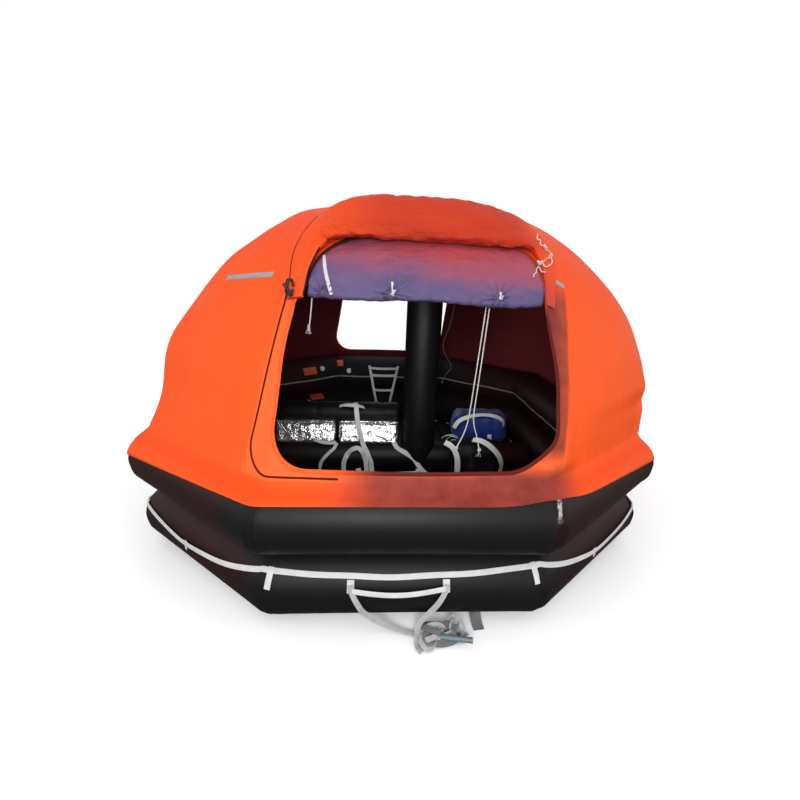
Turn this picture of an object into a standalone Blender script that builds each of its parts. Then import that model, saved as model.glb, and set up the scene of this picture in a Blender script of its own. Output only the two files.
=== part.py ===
"""Inflatable life raft: two stacked eight-sided tubes, a floor, and an orange canopy over a centre column.

Metres, +Z up. The ground is z = 0, the front door faces -Y, and the origin is under the raft's middle.
"""

from math import cos, pi, radians, sin, sqrt

import bmesh
import bpy
from mathutils import Matrix, Vector

# Driving dimensions
GAP = 0.0004  # between pieces that touch
HALF_SIZE = 1.35  # from the raft's middle to the upper tube's centre line, both ways
END_HALF = 0.606  # half the length of the tube's side at each door
SIDE_HALF = 0.771  # half the length of its left and right sides
LOWER_SHARE = 0.976  # the lower tube's plan against the upper one's
TUBE_RADIUS = 0.18
CLOTH = 0.006  # thickness that stands for coated cloth
WEB = 0.0025  # thickness of webbing
WEB_WIDTH = 0.025
FLOOR_LOW = 0.012
FLOOR_HIGH = 0.060
THWART_RADIUS = 0.12
COLUMN_RADIUS = 0.13
COLUMN_X = 0.19
ARCH_RADIUS = 0.07
ROOF_HEIGHT = 1.96
END_EDGE_ANGLE = 0.72  # where the canopy's lower edge lies on the upper tube, above its middle
SIDE_EDGE_ANGLE = 0.27
LEAVE_ANGLE = 0.95  # where the canopy leaves the tube
CANOPY_LEAN = 0.0775  # how far the canopy stands to the right of the tubes' middle
DOOR_SILL = 0.775
DOOR_SPRING = 1.46  # height where the door's arch starts
DOOR_TOP = 1.762
DOOR_ARCH_HALF = 0.56
DOOR_CORNER = 0.19
CURTAIN_FOOT = 1.48

LOWER_HEIGHT = TUBE_RADIUS
UPPER_INSET = HALF_SIZE * (1 - LOWER_SHARE)
TUBE_PITCH = 2 * TUBE_RADIUS + GAP
UPPER_HEIGHT = LOWER_HEIGHT + sqrt(TUBE_PITCH**2 - UPPER_INSET**2)
UPPER_TOP = UPPER_HEIGHT + TUBE_RADIUS
LOWER_SIZE = HALF_SIZE * LOWER_SHARE

# Corners of the upper tube's centre line, counter-clockwise from the right side's front end
CORNERS = (
    (HALF_SIZE, -SIDE_HALF),
    (HALF_SIZE, SIDE_HALF),
    (END_HALF, HALF_SIZE),
    (-END_HALF, HALF_SIZE),
    (-HALF_SIZE, SIDE_HALF),
    (-HALF_SIZE, -SIDE_HALF),
    (-END_HALF, -HALF_SIZE),
    (END_HALF, -HALF_SIZE),
)
RIGHT, BACK_RIGHT, BACK, BACK_LEFT, LEFT, FRONT_LEFT, FRONT, FRONT_RIGHT = range(8)

# Height, half width across X and half width across Y of the canopy above the tube, then how round its plan is at
# the doors' corners, at the left side's corners and at the right side's corners
CANOPY_LEVELS = (
    (0.730, 1.410, 1.430, 0.20, 0.00, 0.00),
    (0.850, 1.430, 1.385, 0.27, 0.11, 0.19),
    (0.970, 1.446, 1.335, 0.34, 0.20, 0.36),
    (1.100, 1.444, 1.285, 0.41, 0.22, 0.41),
    (1.220, 1.418, 1.235, 0.49, 0.25, 0.49),
    (1.360, 1.370, 1.175, 0.55, 0.50, 0.55),
    (1.500, 1.274, 1.110, 0.61, 0.61, 0.61),
    (1.640, 1.126, 1.030, 0.72, 0.50, 0.60),
    (1.760, 0.959, 0.950, 0.82, 0.55, 0.50),
    (1.860, 0.806, 0.860, 0.90, 0.65, 0.65),
    (1.930, 0.676, 0.740, 0.96, 0.50, 0.75),
)
HUG_STEPS = 5  # levels that lie on the tube
ROOF_LEVEL = HUG_STEPS + 8  # where the roof panel starts, counted from the lower edge
TOP_LEVEL = HUG_STEPS + 1 + len(CANOPY_LEVELS)
FACET_STEPS = 5


def material(name, colour, roughness, metallic=0.0):
    """A plain finish."""
    made = bpy.data.materials.new(name)
    made.use_nodes = True
    shader = made.node_tree.nodes["Principled BSDF"]
    shader.inputs["Base Color"].default_value = (*colour, 1)
    shader.inputs["Roughness"].default_value = roughness
    shader.inputs["Metallic"].default_value = metallic
    return made


def new_object(name, shape, finish, smooth=35):
    """Turns a bmesh into a named object with its faces out."""
    bmesh.ops.recalc_face_normals(shape, faces=shape.faces)
    mesh = bpy.data.meshes.new(name)
    shape.to_mesh(mesh)
    shape.free()
    mesh.materials.append(finish)
    mesh.shade_smooth()
    mesh.set_sharp_from_angle(angle=radians(smooth))
    made = bpy.data.objects.new(name, mesh)
    bpy.context.scene.collection.objects.link(made)
    return made


def loft(rings, closed=False):
    """A bmesh skinned over rings of points, with end faces unless the rings close on themselves."""
    shape = bmesh.new()
    rows = [[shape.verts.new(point) for point in ring] for ring in rings]
    count = len(rows[0])
    pairs = list(zip(rows, rows[1:]))
    if closed:
        pairs.append((rows[-1], rows[0]))
    for low, high in pairs:
        for i in range(count):
            j = (i + 1) % count
            shape.faces.new((low[i], low[j], high[j], high[i]))
    if not closed:
        shape.faces.new(rows[0])
        shape.faces.new(rows[-1])
    return shape


def combine(target, other, operation):
    """Joins another solid to the target, or cuts it away, and hides the other."""
    other.hide_render = True
    other.display_type = "WIRE"
    step = target.modifiers.new(operation.title(), "BOOLEAN")
    step.object = other
    step.operation = operation


def side_frame(side):
    """The middle of one of the eight sides, its way out and its direction."""
    start = Vector(CORNERS[side])
    end = Vector(CORNERS[(side + 1) % 8])
    ahead = (end - start).normalized()
    return (start + end) / 2, Vector((ahead.y, -ahead.x)), ahead


def mitre(corner):
    """How far a corner moves when both sides that meet there move out by 1."""
    before = side_frame((corner - 1) % 8)[1]
    after = side_frame(corner)[1]
    return (before + after) / (1 + before.dot(after))


MITRES = [mitre(corner) for corner in range(8)]


def corner_ring(share, out, height):
    """The eight corners of the plan at a share of its size, each side then moved out."""
    ring = []
    for corner, turned in zip(CORNERS, MITRES):
        place = Vector(corner) * share + turned * out
        ring.append(Vector((place.x, place.y, height)))
    return ring


def on_side(side, share, out, along, height):
    """A point beside one side's middle, moved out and along it."""
    middle, way_out, ahead = side_frame(side)
    place = middle * share + way_out * out + ahead * along
    return Vector((place.x, place.y, height))


def ring_tube(name, share, height, finish, sides=24):
    """A closed tube of eight straight lengths, mitred at the corners."""
    rings = []
    for k in range(sides):
        turn = 2 * pi * k / sides
        rings.append(corner_ring(share, TUBE_RADIUS * cos(turn), height + TUBE_RADIUS * sin(turn)))
    return new_object(name, loft(rings, closed=True), finish)


def direction_at(points, i):
    """The way a chain of points runs at one of them."""
    return (points[min(i + 1, len(points) - 1)] - points[max(i - 1, 0)]).normalized()


def tube_along(name, points, radius, finish, sides=16, side_hint=Vector((0, 1, 0)), squash=1.0):
    """A solid round or flattened tube along points, with flat ends. Radius is a number or a list."""
    radii = radius if isinstance(radius, list) else [radius] * len(points)
    turns = [2 * pi * k / sides for k in range(sides)]
    rings = []
    for i, point in enumerate(points):
        ahead = direction_at(points, i)
        hint = side_hint[i] if isinstance(side_hint, list) else side_hint
        across = (hint - ahead * hint.dot(ahead)).normalized()
        up = ahead.cross(across)
        flat = radii[i] * squash
        rings.append([point + across * flat * cos(t) + up * radii[i] * sin(t) for t in turns])
    return new_object(name, loft(rings), finish)


def ribbon(name, points, normals, finish, width=WEB_WIDTH):
    """Flat webbing along points. Each normal points away from what the webbing lies on."""
    rings = []
    for i, point in enumerate(points):
        ahead = direction_at(points, i)
        out = Vector(normals[i])
        out = (out - ahead * out.dot(ahead)).normalized()
        across = ahead.cross(out) * width / 2
        rise = out * WEB
        rings.append([point - across, point + across, point + across + rise, point - across + rise])
    return new_object(name, loft(rings), finish)


def rounded_box(name, size, place, finish, turn=0.0, rounding=0.03, steps=2):
    """A box with rounded edges, its origin in its middle, turned about Z."""
    shape = bmesh.new()
    bmesh.ops.create_cube(shape, size=1.0, matrix=Matrix.Diagonal((*size, 1)))
    edges = list(shape.edges)
    bmesh.ops.bevel(shape, geom=edges, offset=rounding, segments=steps, affect="EDGES", profile=0.5)
    made = new_object(name, shape, finish)
    made.location = place
    made.rotation_euler = (0, 0, turn)
    return made


def mirrored_copy(name, source, axis="Y"):
    """The same piece on the raft's other side, mirrored, with its joins applied."""
    bpy.context.view_layer.update()
    graph = bpy.context.evaluated_depsgraph_get()
    mesh = bpy.data.meshes.new_from_object(source.evaluated_get(graph))
    flip = Matrix.Diagonal((-1, 1, 1, 1)) if axis == "X" else Matrix.Diagonal((1, -1, 1, 1))
    mesh.transform(flip @ source.matrix_world)
    mesh.flip_normals()
    made = bpy.data.objects.new(name, mesh)
    bpy.context.scene.collection.objects.link(made)
    return made


def between(low, high, share):
    """A value part of the way from one to another."""
    return low + (high - low) * share


def lean(height):
    """How far the canopy's middle is to the right at a height."""
    return CANOPY_LEAN * min(1.0, max(0.0, (height - UPPER_TOP) / 0.2))


def outline_point(u, half_x, half_y, door_round, left_round, right_round):
    """A point of a level's outline: the eight-sided plan, rounded towards an ellipse."""
    corner = int(u) % 8
    by_corner = (right_round, right_round, door_round, door_round, left_round, left_round, door_round, door_round)
    roundness = between(by_corner[corner], by_corner[(corner + 1) % 8], u - int(u))
    start = Vector(CORNERS[corner])
    end = Vector(CORNERS[(corner + 1) % 8])
    place = start.lerp(end, u - int(u)) / HALF_SIZE
    place = place.lerp(place.normalized(), roundness)
    return Vector((place.x * half_x, place.y * half_y))


def edge_angle(u):
    """How high the canopy's edge lies on the tube at u, counted in sides from the right side's front end."""
    high = (SIDE_EDGE_ANGLE, SIDE_EDGE_ANGLE, END_EDGE_ANGLE, END_EDGE_ANGLE)
    corner = int(u) % 4
    return between(high[corner], high[(corner + 1) % 4], u - int(u))


def canopy_point(u, level, stand_off):
    """A point of the canopy. Level 0 is its lower edge; stand_off moves it outwards."""
    if level <= HUG_STEPS:
        lift = between(edge_angle(u), LEAVE_ANGLE, level / HUG_STEPS)
        reach = TUBE_RADIUS + 0.007 + stand_off
        ring = corner_ring(1.0, reach * cos(lift), UPPER_HEIGHT + reach * sin(lift))
        corner = int(u) % 8
        return ring[corner].lerp(ring[(corner + 1) % 8], u - int(u))
    index = level - HUG_STEPS - 1
    if index == len(CANOPY_LEVELS):
        return Vector((CANOPY_LEAN, 0, ROOF_HEIGHT + stand_off))
    height, half_x, half_y, *rounds = CANOPY_LEVELS[index]
    outward = stand_off * (1 - index / len(CANOPY_LEVELS))
    upward = stand_off * min(1, index / len(CANOPY_LEVELS) * 1.3)
    place = outline_point(u, half_x + outward, half_y + outward, *rounds)
    return Vector((place.x + lean(height), place.y, height + upward))


def canopy_panel(name, first, last, low_level, high_level, finish):
    """A thin closed panel of the canopy between two sides' corners and two levels."""
    steps = (last - first) * FACET_STEPS
    whole = last - first == 8
    trim = 0.0 if whole else GAP
    us = [first + trim + (last - first - 2 * trim) * i / steps for i in range(steps + (not whole))]
    shape = bmesh.new()
    sheets = []
    for stand_off in (0.0, CLOTH):
        rows = []
        for level in range(low_level, high_level + 1):
            row = [canopy_point(u, level, stand_off) for u in us]
            if level == ROOF_LEVEL:
                shift = GAP if low_level == ROOF_LEVEL else -GAP
                row = [point + Vector((0, 0, shift)) for point in row]
            rows.append([shape.verts.new(point) for point in row])
        sheets.append(rows)
    columns = len(us)
    spans = columns if whole else columns - 1
    for rows in sheets:
        for low, high in zip(rows, rows[1:]):
            for i in range(spans):
                j = (i + 1) % columns
                shape.faces.new((low[i], low[j], high[j], high[i]))
    inner, outer = sheets
    for i in range(spans):
        j = (i + 1) % columns
        shape.faces.new((inner[0][i], inner[0][j], outer[0][j], outer[0][i]))
        if high_level < TOP_LEVEL:
            shape.faces.new((inner[-1][i], inner[-1][j], outer[-1][j], outer[-1][i]))
    if not whole:
        for side in (0, -1):
            for k in range(high_level - low_level):
                corners = (inner[k][side], inner[k + 1][side], outer[k + 1][side], outer[k][side])
                shape.faces.new(corners)
    bmesh.ops.remove_doubles(shape, verts=shape.verts, dist=0.00002)
    return new_object(name, shape, finish)


def front_depth(x, height):
    """How far in front of the middle the canopy's outer face is, at x and a height above the tube."""
    for low, high in zip(CANOPY_LEVELS, CANOPY_LEVELS[1:]):
        if height <= high[0]:
            break
    share = max(0.0, min(1.0, (height - low[0]) / (high[0] - low[0])))
    half_x = between(low[1], high[1], share) + CLOTH
    half_y = between(low[2], high[2], share) + CLOTH
    rounds = [between(a, b, share) for a, b in zip(low[3:], high[3:])]
    first, last = float(FRONT_LEFT), FRONT_RIGHT + 1 - 1e-6
    for _ in range(30):
        u = (first + last) / 2
        if outline_point(u, half_x, half_y, *rounds).x + lean(height) > x:
            last = u
        else:
            first = u
    return -outline_point(u, half_x, half_y, *rounds).y


def front_normal(x, height):
    """The way out of the canopy's front at x and a height."""
    step = 0.02
    across = (front_depth(x + step, height) - front_depth(x - step, height)) / (2 * step)
    rise = (front_depth(x, height + step) - front_depth(x, height - step)) / (2 * step)
    return Vector((-across, -1, -rise)).normalized()


def door_middle(height):
    """The door's middle, which follows the canopy to the right as it rises."""
    return 0.02 + 0.12 * (height - 0.97)


def door_half(height):
    """Half the door's width, which narrows a little up to its arch."""
    return DOOR_ARCH_HALF + 0.09 * max(0.0, DOOR_SPRING - height)


def arch_point(turn, grow=0.0):
    """A point of the door's flattened arch, from its right foot at 0 to its left foot at pi."""
    power = 2 / 3.5
    flat = abs(cos(turn)) ** power
    x = (DOOR_ARCH_HALF + grow) * (flat if cos(turn) > 0 else -flat)
    z = DOOR_SPRING + (DOOR_TOP + grow - DOOR_SPRING) * max(0.0, sin(turn)) ** power
    return x + door_middle(z), z


def arch_height(x):
    """The arch's height over x, both counted from the door's middle."""
    share = min(1.0, abs(x) / DOOR_ARCH_HALF)
    return DOOR_SPRING + (DOOR_TOP - DOOR_SPRING) * (1 - share**3.5) ** (1 / 3.5)


def door_outline():
    """The door's outline in X and Z: a sill with round corners, nearly upright sides and an arch."""
    sill = []
    for k in range(7):
        turn = pi * k / 12
        z = DOOR_SILL + DOOR_CORNER * (1 - sin(turn))
        sill.append((door_half(z) - DOOR_CORNER * (1 - cos(turn)), z))
    left = [(door_middle(z) - x, z) for x, z in sill]
    right = [(door_middle(z) + x, z) for x, z in reversed(sill)]
    return left + right + [arch_point(pi * k / 24) for k in range(25)]


def door_cutter(name, side, finish):
    """A prism through the front (-1) or back (1) of the canopy."""
    rings = [[Vector((x, side * y, z)) for x, z in door_outline()] for y in (0.55, 2.0)]
    return new_object(name, loft(rings), finish)


ORANGE = (0.90, 0.16, 0.03)

for old in list(bpy.data.objects):
    bpy.data.objects.remove(old, do_unlink=True)

tube_rubber = material("tube_rubber", (0.018, 0.018, 0.020), 0.5)
floor_rubber = material("floor_rubber", (0.02, 0.02, 0.022), 0.7)
canopy_cloth = material("canopy_cloth", ORANGE, 0.55)
curtain_cloth = material("curtain_cloth", (0.16, 0.14, 0.42), 0.6)
webbing = material("webbing", (0.72, 0.72, 0.74), 0.8)
foil = material("foil", (0.80, 0.80, 0.82), 0.25, 1.0)
bag_blue = material("bag_blue", (0.02, 0.06, 0.32), 0.6)
bag_black = material("bag_black", (0.02, 0.02, 0.022), 0.7)
cord_white = material("cord_white", (0.80, 0.79, 0.76), 0.8)
cord_black = material("cord_black", (0.03, 0.03, 0.03), 0.7)
cylinder_paint = material("cylinder_paint", (0.35, 0.36, 0.38), 0.4)
rung_plastic = material("rung_plastic", (0.30, 0.36, 0.42), 0.5)

# Buoyancy tubes, one on the other
ring_tube("lower_buoyancy_tube", LOWER_SHARE, LOWER_HEIGHT, tube_rubber)
ring_tube("upper_buoyancy_tube", 1.0, UPPER_HEIGHT, tube_rubber)

# Inflated floor, its edge hollowed to lie against the lower tube
floor_rings = []
for k in range(5):
    floor_z = between(FLOOR_LOW, FLOOR_HIGH, k / 4)
    chord = sqrt(TUBE_RADIUS**2 - (LOWER_HEIGHT - floor_z) ** 2)
    floor_rings.append(corner_ring(LOWER_SHARE, -chord - 0.001, floor_z))
new_object("floor", loft(floor_rings), floor_rubber)

# Ballast pockets, pressed flat under the floor
POCKET_SIZE = (0.40, 0.62, FLOOR_LOW - 2 * GAP)
POCKET_REACH = 0.90
for k in range(4):
    pocket_turn = pi / 4 + k * pi / 2
    pocket_place = (POCKET_REACH * cos(pocket_turn), POCKET_REACH * sin(pocket_turn), FLOOR_LOW / 2)
    pocket_name = f"ballast_pocket_{k + 1}"
    rounded_box(pocket_name, POCKET_SIZE, pocket_place, floor_rubber, pocket_turn, rounding=0.004, steps=1)

# Thwart across the floor, and the column that stands on it
THWART_HEIGHT = FLOOR_HIGH + THWART_RADIUS + GAP
THWART_REACH = LOWER_SIZE - TUBE_RADIUS - 0.004
COLUMN_TOP = 1.70
thwart_points = [Vector((THWART_REACH * (-1 + k / 6), 0, THWART_HEIGHT)) for k in range(13)]
thwart_radii = [THWART_RADIUS * (0.9 if k in (0, 12) else 1.0) for k in range(13)]
tube_along("thwart_tube", thwart_points, thwart_radii, tube_rubber, sides=24)
column_points = [Vector((COLUMN_X, 0, z)) for z in (THWART_HEIGHT, COLUMN_TOP)]
column = tube_along("centre_column", column_points, COLUMN_RADIUS, tube_rubber, sides=24)
saddle_points = [Vector((x, 0, THWART_HEIGHT)) for x in (COLUMN_X - 0.4, COLUMN_X + 0.4)]
saddle = tube_along("saddle_cutter", saddle_points, THWART_RADIUS + 0.002, tube_rubber, sides=48)
combine(column, saddle, "DIFFERENCE")

# Arch tube under the canopy, from side to side over the column
ARCH_MARGIN = ARCH_RADIUS + 0.030
ARCH_FOOT = Vector((1.305, 0, UPPER_TOP + 0.065))
arch_half = [ARCH_FOOT]
for height, half_x, *_ in CANOPY_LEVELS[1:]:
    slope = max(0.0, (height - 1.0) / 0.95)
    arch_half.append(Vector((half_x - ARCH_MARGIN * (1 - 0.55 * slope), 0, height - ARCH_MARGIN * slope)))
arch_left = [Vector((lean(p.z) - p.x, 0, p.z)) for p in arch_half]
arch_right = [Vector((lean(p.z) + p.x, 0, p.z)) for p in reversed(arch_half)]
tube_along("roof_arch_tube", arch_left + arch_right, ARCH_RADIUS, tube_rubber, sides=16)

# Canopy panels, with a door cut in the front and the back
front = canopy_panel("canopy_front", FRONT_LEFT, FRONT_RIGHT + 1, 0, ROOF_LEVEL, canopy_cloth)
back = canopy_panel("canopy_back", BACK_RIGHT, BACK_LEFT + 1, 0, ROOF_LEVEL, canopy_cloth)
canopy_panel("canopy_right_side", RIGHT, RIGHT + 1, 0, ROOF_LEVEL, canopy_cloth)
canopy_panel("canopy_left_side", LEFT, LEFT + 1, 0, ROOF_LEVEL, canopy_cloth)
roof = canopy_panel("canopy_roof", 0, 8, ROOF_LEVEL, TOP_LEVEL, canopy_cloth)
front_cutter = door_cutter("front_door_cutter", -1, canopy_cloth)
back_cutter = door_cutter("back_door_cutter", 1, canopy_cloth)
for panel, cutter in ((front, front_cutter), (back, back_cutter), (roof, front_cutter), (roof, back_cutter)):
    combine(panel, cutter, "DIFFERENCE")

# Door flap rolled up over each door: a flat roll, thin at its two feet and wide over the top
HOOD_SQUASH = 0.36
HOOD_FOOT = 0.045  # half its width at the feet
HOOD_CROWN = 0.115
hood_points = []
hood_normals = []
hood_radii = []
for k in range(29):
    turn = pi * k / 28
    radius = between(HOOD_FOOT, HOOD_CROWN, sin(turn) ** 1.2)
    x, z = arch_point(turn, radius * 0.86)
    normal = front_normal(x, z)
    hood_points.append(Vector((x, -front_depth(x, z), z)) + normal * (radius * HOOD_SQUASH + 0.016))
    hood_normals.append(normal)
    hood_radii.append(radius)
hood = tube_along(
    "front_door_flap_roll",
    hood_points,
    hood_radii,
    canopy_cloth,
    sides=12,
    side_hint=hood_normals,
    squash=HOOD_SQUASH,
)
mirrored_copy("back_door_flap_roll", hood)

# Inner curtain, tied up under the top of each door
CURTAIN_THICK = 0.05
CURTAIN_INSET = 0.012
CURTAIN_MARGIN = 0.008
curtain_rings = []
for k in range(15):
    across = (DOOR_ARCH_HALF - 2 * CURTAIN_MARGIN) * (-1 + k / 7)
    top = max(arch_height(across) - CURTAIN_MARGIN, CURTAIN_FOOT + 0.02)
    outer = []
    for share in (0, 0.5, 1):
        z = between(CURTAIN_FOOT, top, share)
        x = across + door_middle(z)
        outer.append(Vector((x, CURTAIN_INSET - front_depth(x, z), z)))
    inner = [point + Vector((0, CURTAIN_THICK, -0.01)) for point in reversed(outer)]
    curtain_rings.append(outer + inner)
curtain = new_object("front_curtain", loft(curtain_rings), curtain_cloth)
mirrored_copy("back_curtain", curtain)

# Grab line round the outside of the lower tube: a webbing that sags between its tabs at the corners. Both count
# from the right side's front corner, in angles above the tube's middle
TAB_ANGLES = (0.46, 0.50, 0.82, 0.82, 0.50, 0.48, 0.80, 0.88)
SAGS = (0.06, 0.48, 0.22, 0.46, 0.06, 0.46, 0.22, 0.52)
LINE_STEPS = 14
line_corners = []
for turn_shift, radius in ((-0.07, 0.002), (0.07, 0.002), (0.07, 0.002 + WEB), (-0.07, 0.002 + WEB)):
    line_corners.append((turn_shift, TUBE_RADIUS + radius))
line_rings = []
for side in range(8):
    for i in range(LINE_STEPS):
        share = i / LINE_STEPS
        level = between(TAB_ANGLES[side], TAB_ANGLES[(side + 1) % 8], share)
        lift = level - SAGS[side] * 4 * share * (1 - share)
        ring = []
        for turn_shift, radius in line_corners:
            turn = lift + turn_shift
            corners = corner_ring(LOWER_SHARE, radius * cos(turn), LOWER_HEIGHT + radius * sin(turn))
            ring.append(corners[side].lerp(corners[(side + 1) % 8], share))
        line_rings.append(ring)
new_object("outer_grab_line", loft(line_rings, closed=True), webbing)

# Grab line round the inside of the upper tube
inner_rings = []
for depth, height in ((0, 0), (0, WEB_WIDTH), (WEB, WEB_WIDTH), (WEB, 0)):
    inner_rings.append(corner_ring(1.0, -TUBE_RADIUS - 0.001 - depth, UPPER_HEIGHT - WEB_WIDTH / 2 + height))
new_object("inner_grab_line", loft(inner_rings, closed=True), webbing)


def tube_patch(name, along, lift, width, length, finish, thick=0.003):
    """A patch glued on the front of the lower tube, round which it bends."""
    rings = []
    steps = 4
    for i in range(steps + 1):
        turn = lift + (i / steps - 0.5) * length / TUBE_RADIUS
        ring = []
        for side, extra in ((-1, 0.001), (1, 0.001), (1, 0.001 + thick), (-1, 0.001 + thick)):
            reach = TUBE_RADIUS + extra
            place = on_side(FRONT, LOWER_SHARE, reach * cos(turn), 0, LOWER_HEIGHT + reach * sin(turn))
            place.x = along + side * width / 2
            ring.append(place)
        rings.append(ring)
    return new_object(name, loft(rings), finish)


# Boarding handle under each door, between two patches
PATCH_LIFT = 0.390
PATCH_WIDTH = 0.032
PATCH_LENGTH = 0.052
HANDLE_LEFT = -0.245
HANDLE_RIGHT = 0.187
HANDLE_FRONT = -1.512
HANDLE_HEIGHT = 0.238
HANDLE_DROP = 0.014
for label, x in (("left", HANDLE_LEFT), ("right", HANDLE_RIGHT)):
    patch = tube_patch(f"front_handle_patch_{label}", x, PATCH_LIFT, PATCH_WIDTH, PATCH_LENGTH, webbing)
    mirrored_copy(f"back_handle_patch_{label}", patch)
handle_points = []
for k in range(9):
    bow = sin(pi * k / 8)
    x = between(HANDLE_LEFT + 0.03, HANDLE_RIGHT - 0.03, k / 8)
    handle_points.append(Vector((x, HANDLE_FRONT - 0.012 * bow, HANDLE_HEIGHT - HANDLE_DROP * bow)))
handle = ribbon("front_boarding_handle", handle_points, [(0, -1, 0.2)] * 9, webbing)
mirrored_copy("back_boarding_handle", handle)

# Boarding ladder: two webbing straps that end in a bundle on the ground, with a rung on it
ladder_left = [
    Vector((-0.226, -1.514, 0.204)),
    Vector((-0.212, -1.516, 0.180)),
    Vector((-0.190, -1.512, 0.135)),
    Vector((-0.150, -1.504, 0.090)),
    Vector((-0.100, -1.500, 0.052)),
    Vector((-0.040, -1.505, 0.026)),
    Vector((0.030, -1.520, 0.014)),
    Vector((0.100, -1.530, 0.014)),
]
ladder_right = [
    Vector((0.164, -1.514, 0.204)),
    Vector((0.150, -1.516, 0.180)),
    Vector((0.120, -1.512, 0.130)),
    Vector((0.080, -1.510, 0.075)),
    Vector((0.062, -1.520, 0.034)),
    Vector((0.080, -1.532, 0.018)),
    Vector((0.120, -1.540, 0.014)),
]
LEAN_OUT = (0, -1, 0.9)
FLAT_UP = (0, -0.2, 1)
BUNDLE_SIZE = (0.25, 0.135, 0.036)
BUNDLE_PLACE = (0.172, -1.540, 0.020)
BUNDLE_TURN = -0.15
left_strap = ribbon("front_boarding_ladder", ladder_left, [LEAN_OUT] * 5 + [FLAT_UP] * 3, webbing)
right_strap = ribbon("ladder_right_part", ladder_right, [LEAN_OUT] * 4 + [FLAT_UP] * 3, webbing)
bundle = rounded_box("ladder_bundle_part", BUNDLE_SIZE, BUNDLE_PLACE, webbing, BUNDLE_TURN, rounding=0.012)
combine(left_strap, right_strap, "UNION")
combine(left_strap, bundle, "UNION")
mirrored_copy("back_boarding_ladder", left_strap)
rung_points = [Vector((0.160, -1.575, 0.053)), Vector((0.300, -1.596, 0.053))]
rung = tube_along("front_ladder_rung", rung_points, 0.013, rung_plastic, sides=12)
mirrored_copy("back_ladder_rung", rung)

# Webbing ladder that hangs inside each door, narrower at its foot
LADDER_X = -0.08
LADDER_TOP = 0.66
LADDER_FOOT = 0.15
LADDER_DEPTH_TOP = HALF_SIZE - TUBE_RADIUS - 0.012
LADDER_DEPTH_FOOT = LOWER_SIZE - TUBE_RADIUS - 0.014
LADDER_HALF_TOP = 0.150
LADDER_HALF_FOOT = 0.050
RUNG_HEIGHTS = (0.65, 0.56, 0.40, 0.17)


def ladder_place(side, height, inward=0.0):
    """A point of the inner ladder's side strap at a height."""
    share = (height - LADDER_FOOT) / (LADDER_TOP - LADDER_FOOT)
    half = between(LADDER_HALF_FOOT, LADDER_HALF_TOP, share)
    return Vector((LADDER_X + side * half, between(LADDER_DEPTH_FOOT, LADDER_DEPTH_TOP, share) - inward, height))


back_ladder = None
for side in (-1, 1):
    strap_points = [ladder_place(side, height) for height in (LADDER_TOP, LADDER_FOOT)]
    strap = ribbon("inner_ladder_side_part", strap_points, [(0, -1, 0)] * 2, webbing)
    if back_ladder is None:
        back_ladder = strap
        back_ladder.name = "back_inner_ladder"
    else:
        combine(back_ladder, strap, "UNION")
for height in RUNG_HEIGHTS:
    strap_points = [ladder_place(side, height, inward=0.0008) for side in (-1, 1)]
    strap = ribbon("inner_ladder_rung_part", strap_points, [(0, -1, 0)] * 2, webbing)
    combine(back_ladder, strap, "UNION")
mirrored_copy("front_inner_ladder", back_ladder)

# Equipment on the thwart and on the floor
KIT_REST = THWART_HEIGHT + THWART_RADIUS + 0.002
PACK_SIZE = (0.455, 0.095, 0.155)
PACK_Y = 0.015
for label, x in (("left", -0.700), ("right", -0.205)):
    place = (x, PACK_Y, KIT_REST + PACK_SIZE[2] / 2)
    rounded_box(f"foil_pack_{label}", PACK_SIZE, place, foil, rounding=0.02)
bundle_section = (
    (0.066, 0.310),
    (0.066, 0.490),
    (0.090, 0.550),
    (0.150, 0.582),
    (0.215, 0.560),
    (0.255, 0.490),
    (0.258, 0.340),
    (0.225, 0.240),
    (0.170, 0.205),
    (0.125, 0.225),
    (0.096, 0.272),
)
cloth_rings = []
for x, share in ((-0.93, 0.86), (-0.90, 1.0), (-0.60, 0.97), (-0.30, 1.0), (0.01, 1.0), (0.045, 0.86)):
    ring = [(x, between(0.165, y, share), between(0.395, z, share)) for y, z in bundle_section]
    cloth_rings.append([Vector(point) for point in ring])
new_object("stowed_cloth_roll", loft(cloth_rings), bag_black)
BLUE_BAG_SIZE = (0.44, 0.24, 0.24)
BLUE_BAG_PLACE = (0.675, 0.10, KIT_REST + 0.121)
BLACK_BAG_SIZE = (0.35, 0.24, 0.40)
BLACK_BAG_PLACE = (0.575, -0.31, FLOOR_HIGH + 0.203)
rounded_box("equipment_bag_blue", BLUE_BAG_SIZE, BLUE_BAG_PLACE, bag_blue, rounding=0.06)
rounded_box("equipment_bag_black", BLACK_BAG_SIZE, BLACK_BAG_PLACE, bag_black, rounding=0.06)

# Gas cylinder, lashed outside the lower tube behind the raft
CYLINDER_RADIUS = 0.07
CYLINDER_PROFILE = (
    (-0.30, 0.018),
    (-0.28, 0.018),
    (-0.275, 0.045),
    (-0.24, 0.068),
    (-0.21, CYLINDER_RADIUS),
    (0.21, CYLINDER_RADIUS),
    (0.24, 0.062),
    (0.262, 0.03),
)
cylinder_height = CYLINDER_RADIUS + 0.001
cylinder_out = sqrt((TUBE_RADIUS + CYLINDER_RADIUS + 0.004) ** 2 - (LOWER_HEIGHT - cylinder_height) ** 2)
cylinder_points = []
for along, _ in CYLINDER_PROFILE:
    cylinder_points.append(on_side(BACK_LEFT, LOWER_SHARE, cylinder_out, along, cylinder_height))
cylinder_radii = [radius for _, radius in CYLINDER_PROFILE]
up = Vector((0, 0, 1))
tube_along("gas_cylinder", cylinder_points, cylinder_radii, cylinder_paint, sides=20, side_hint=up)

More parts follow.
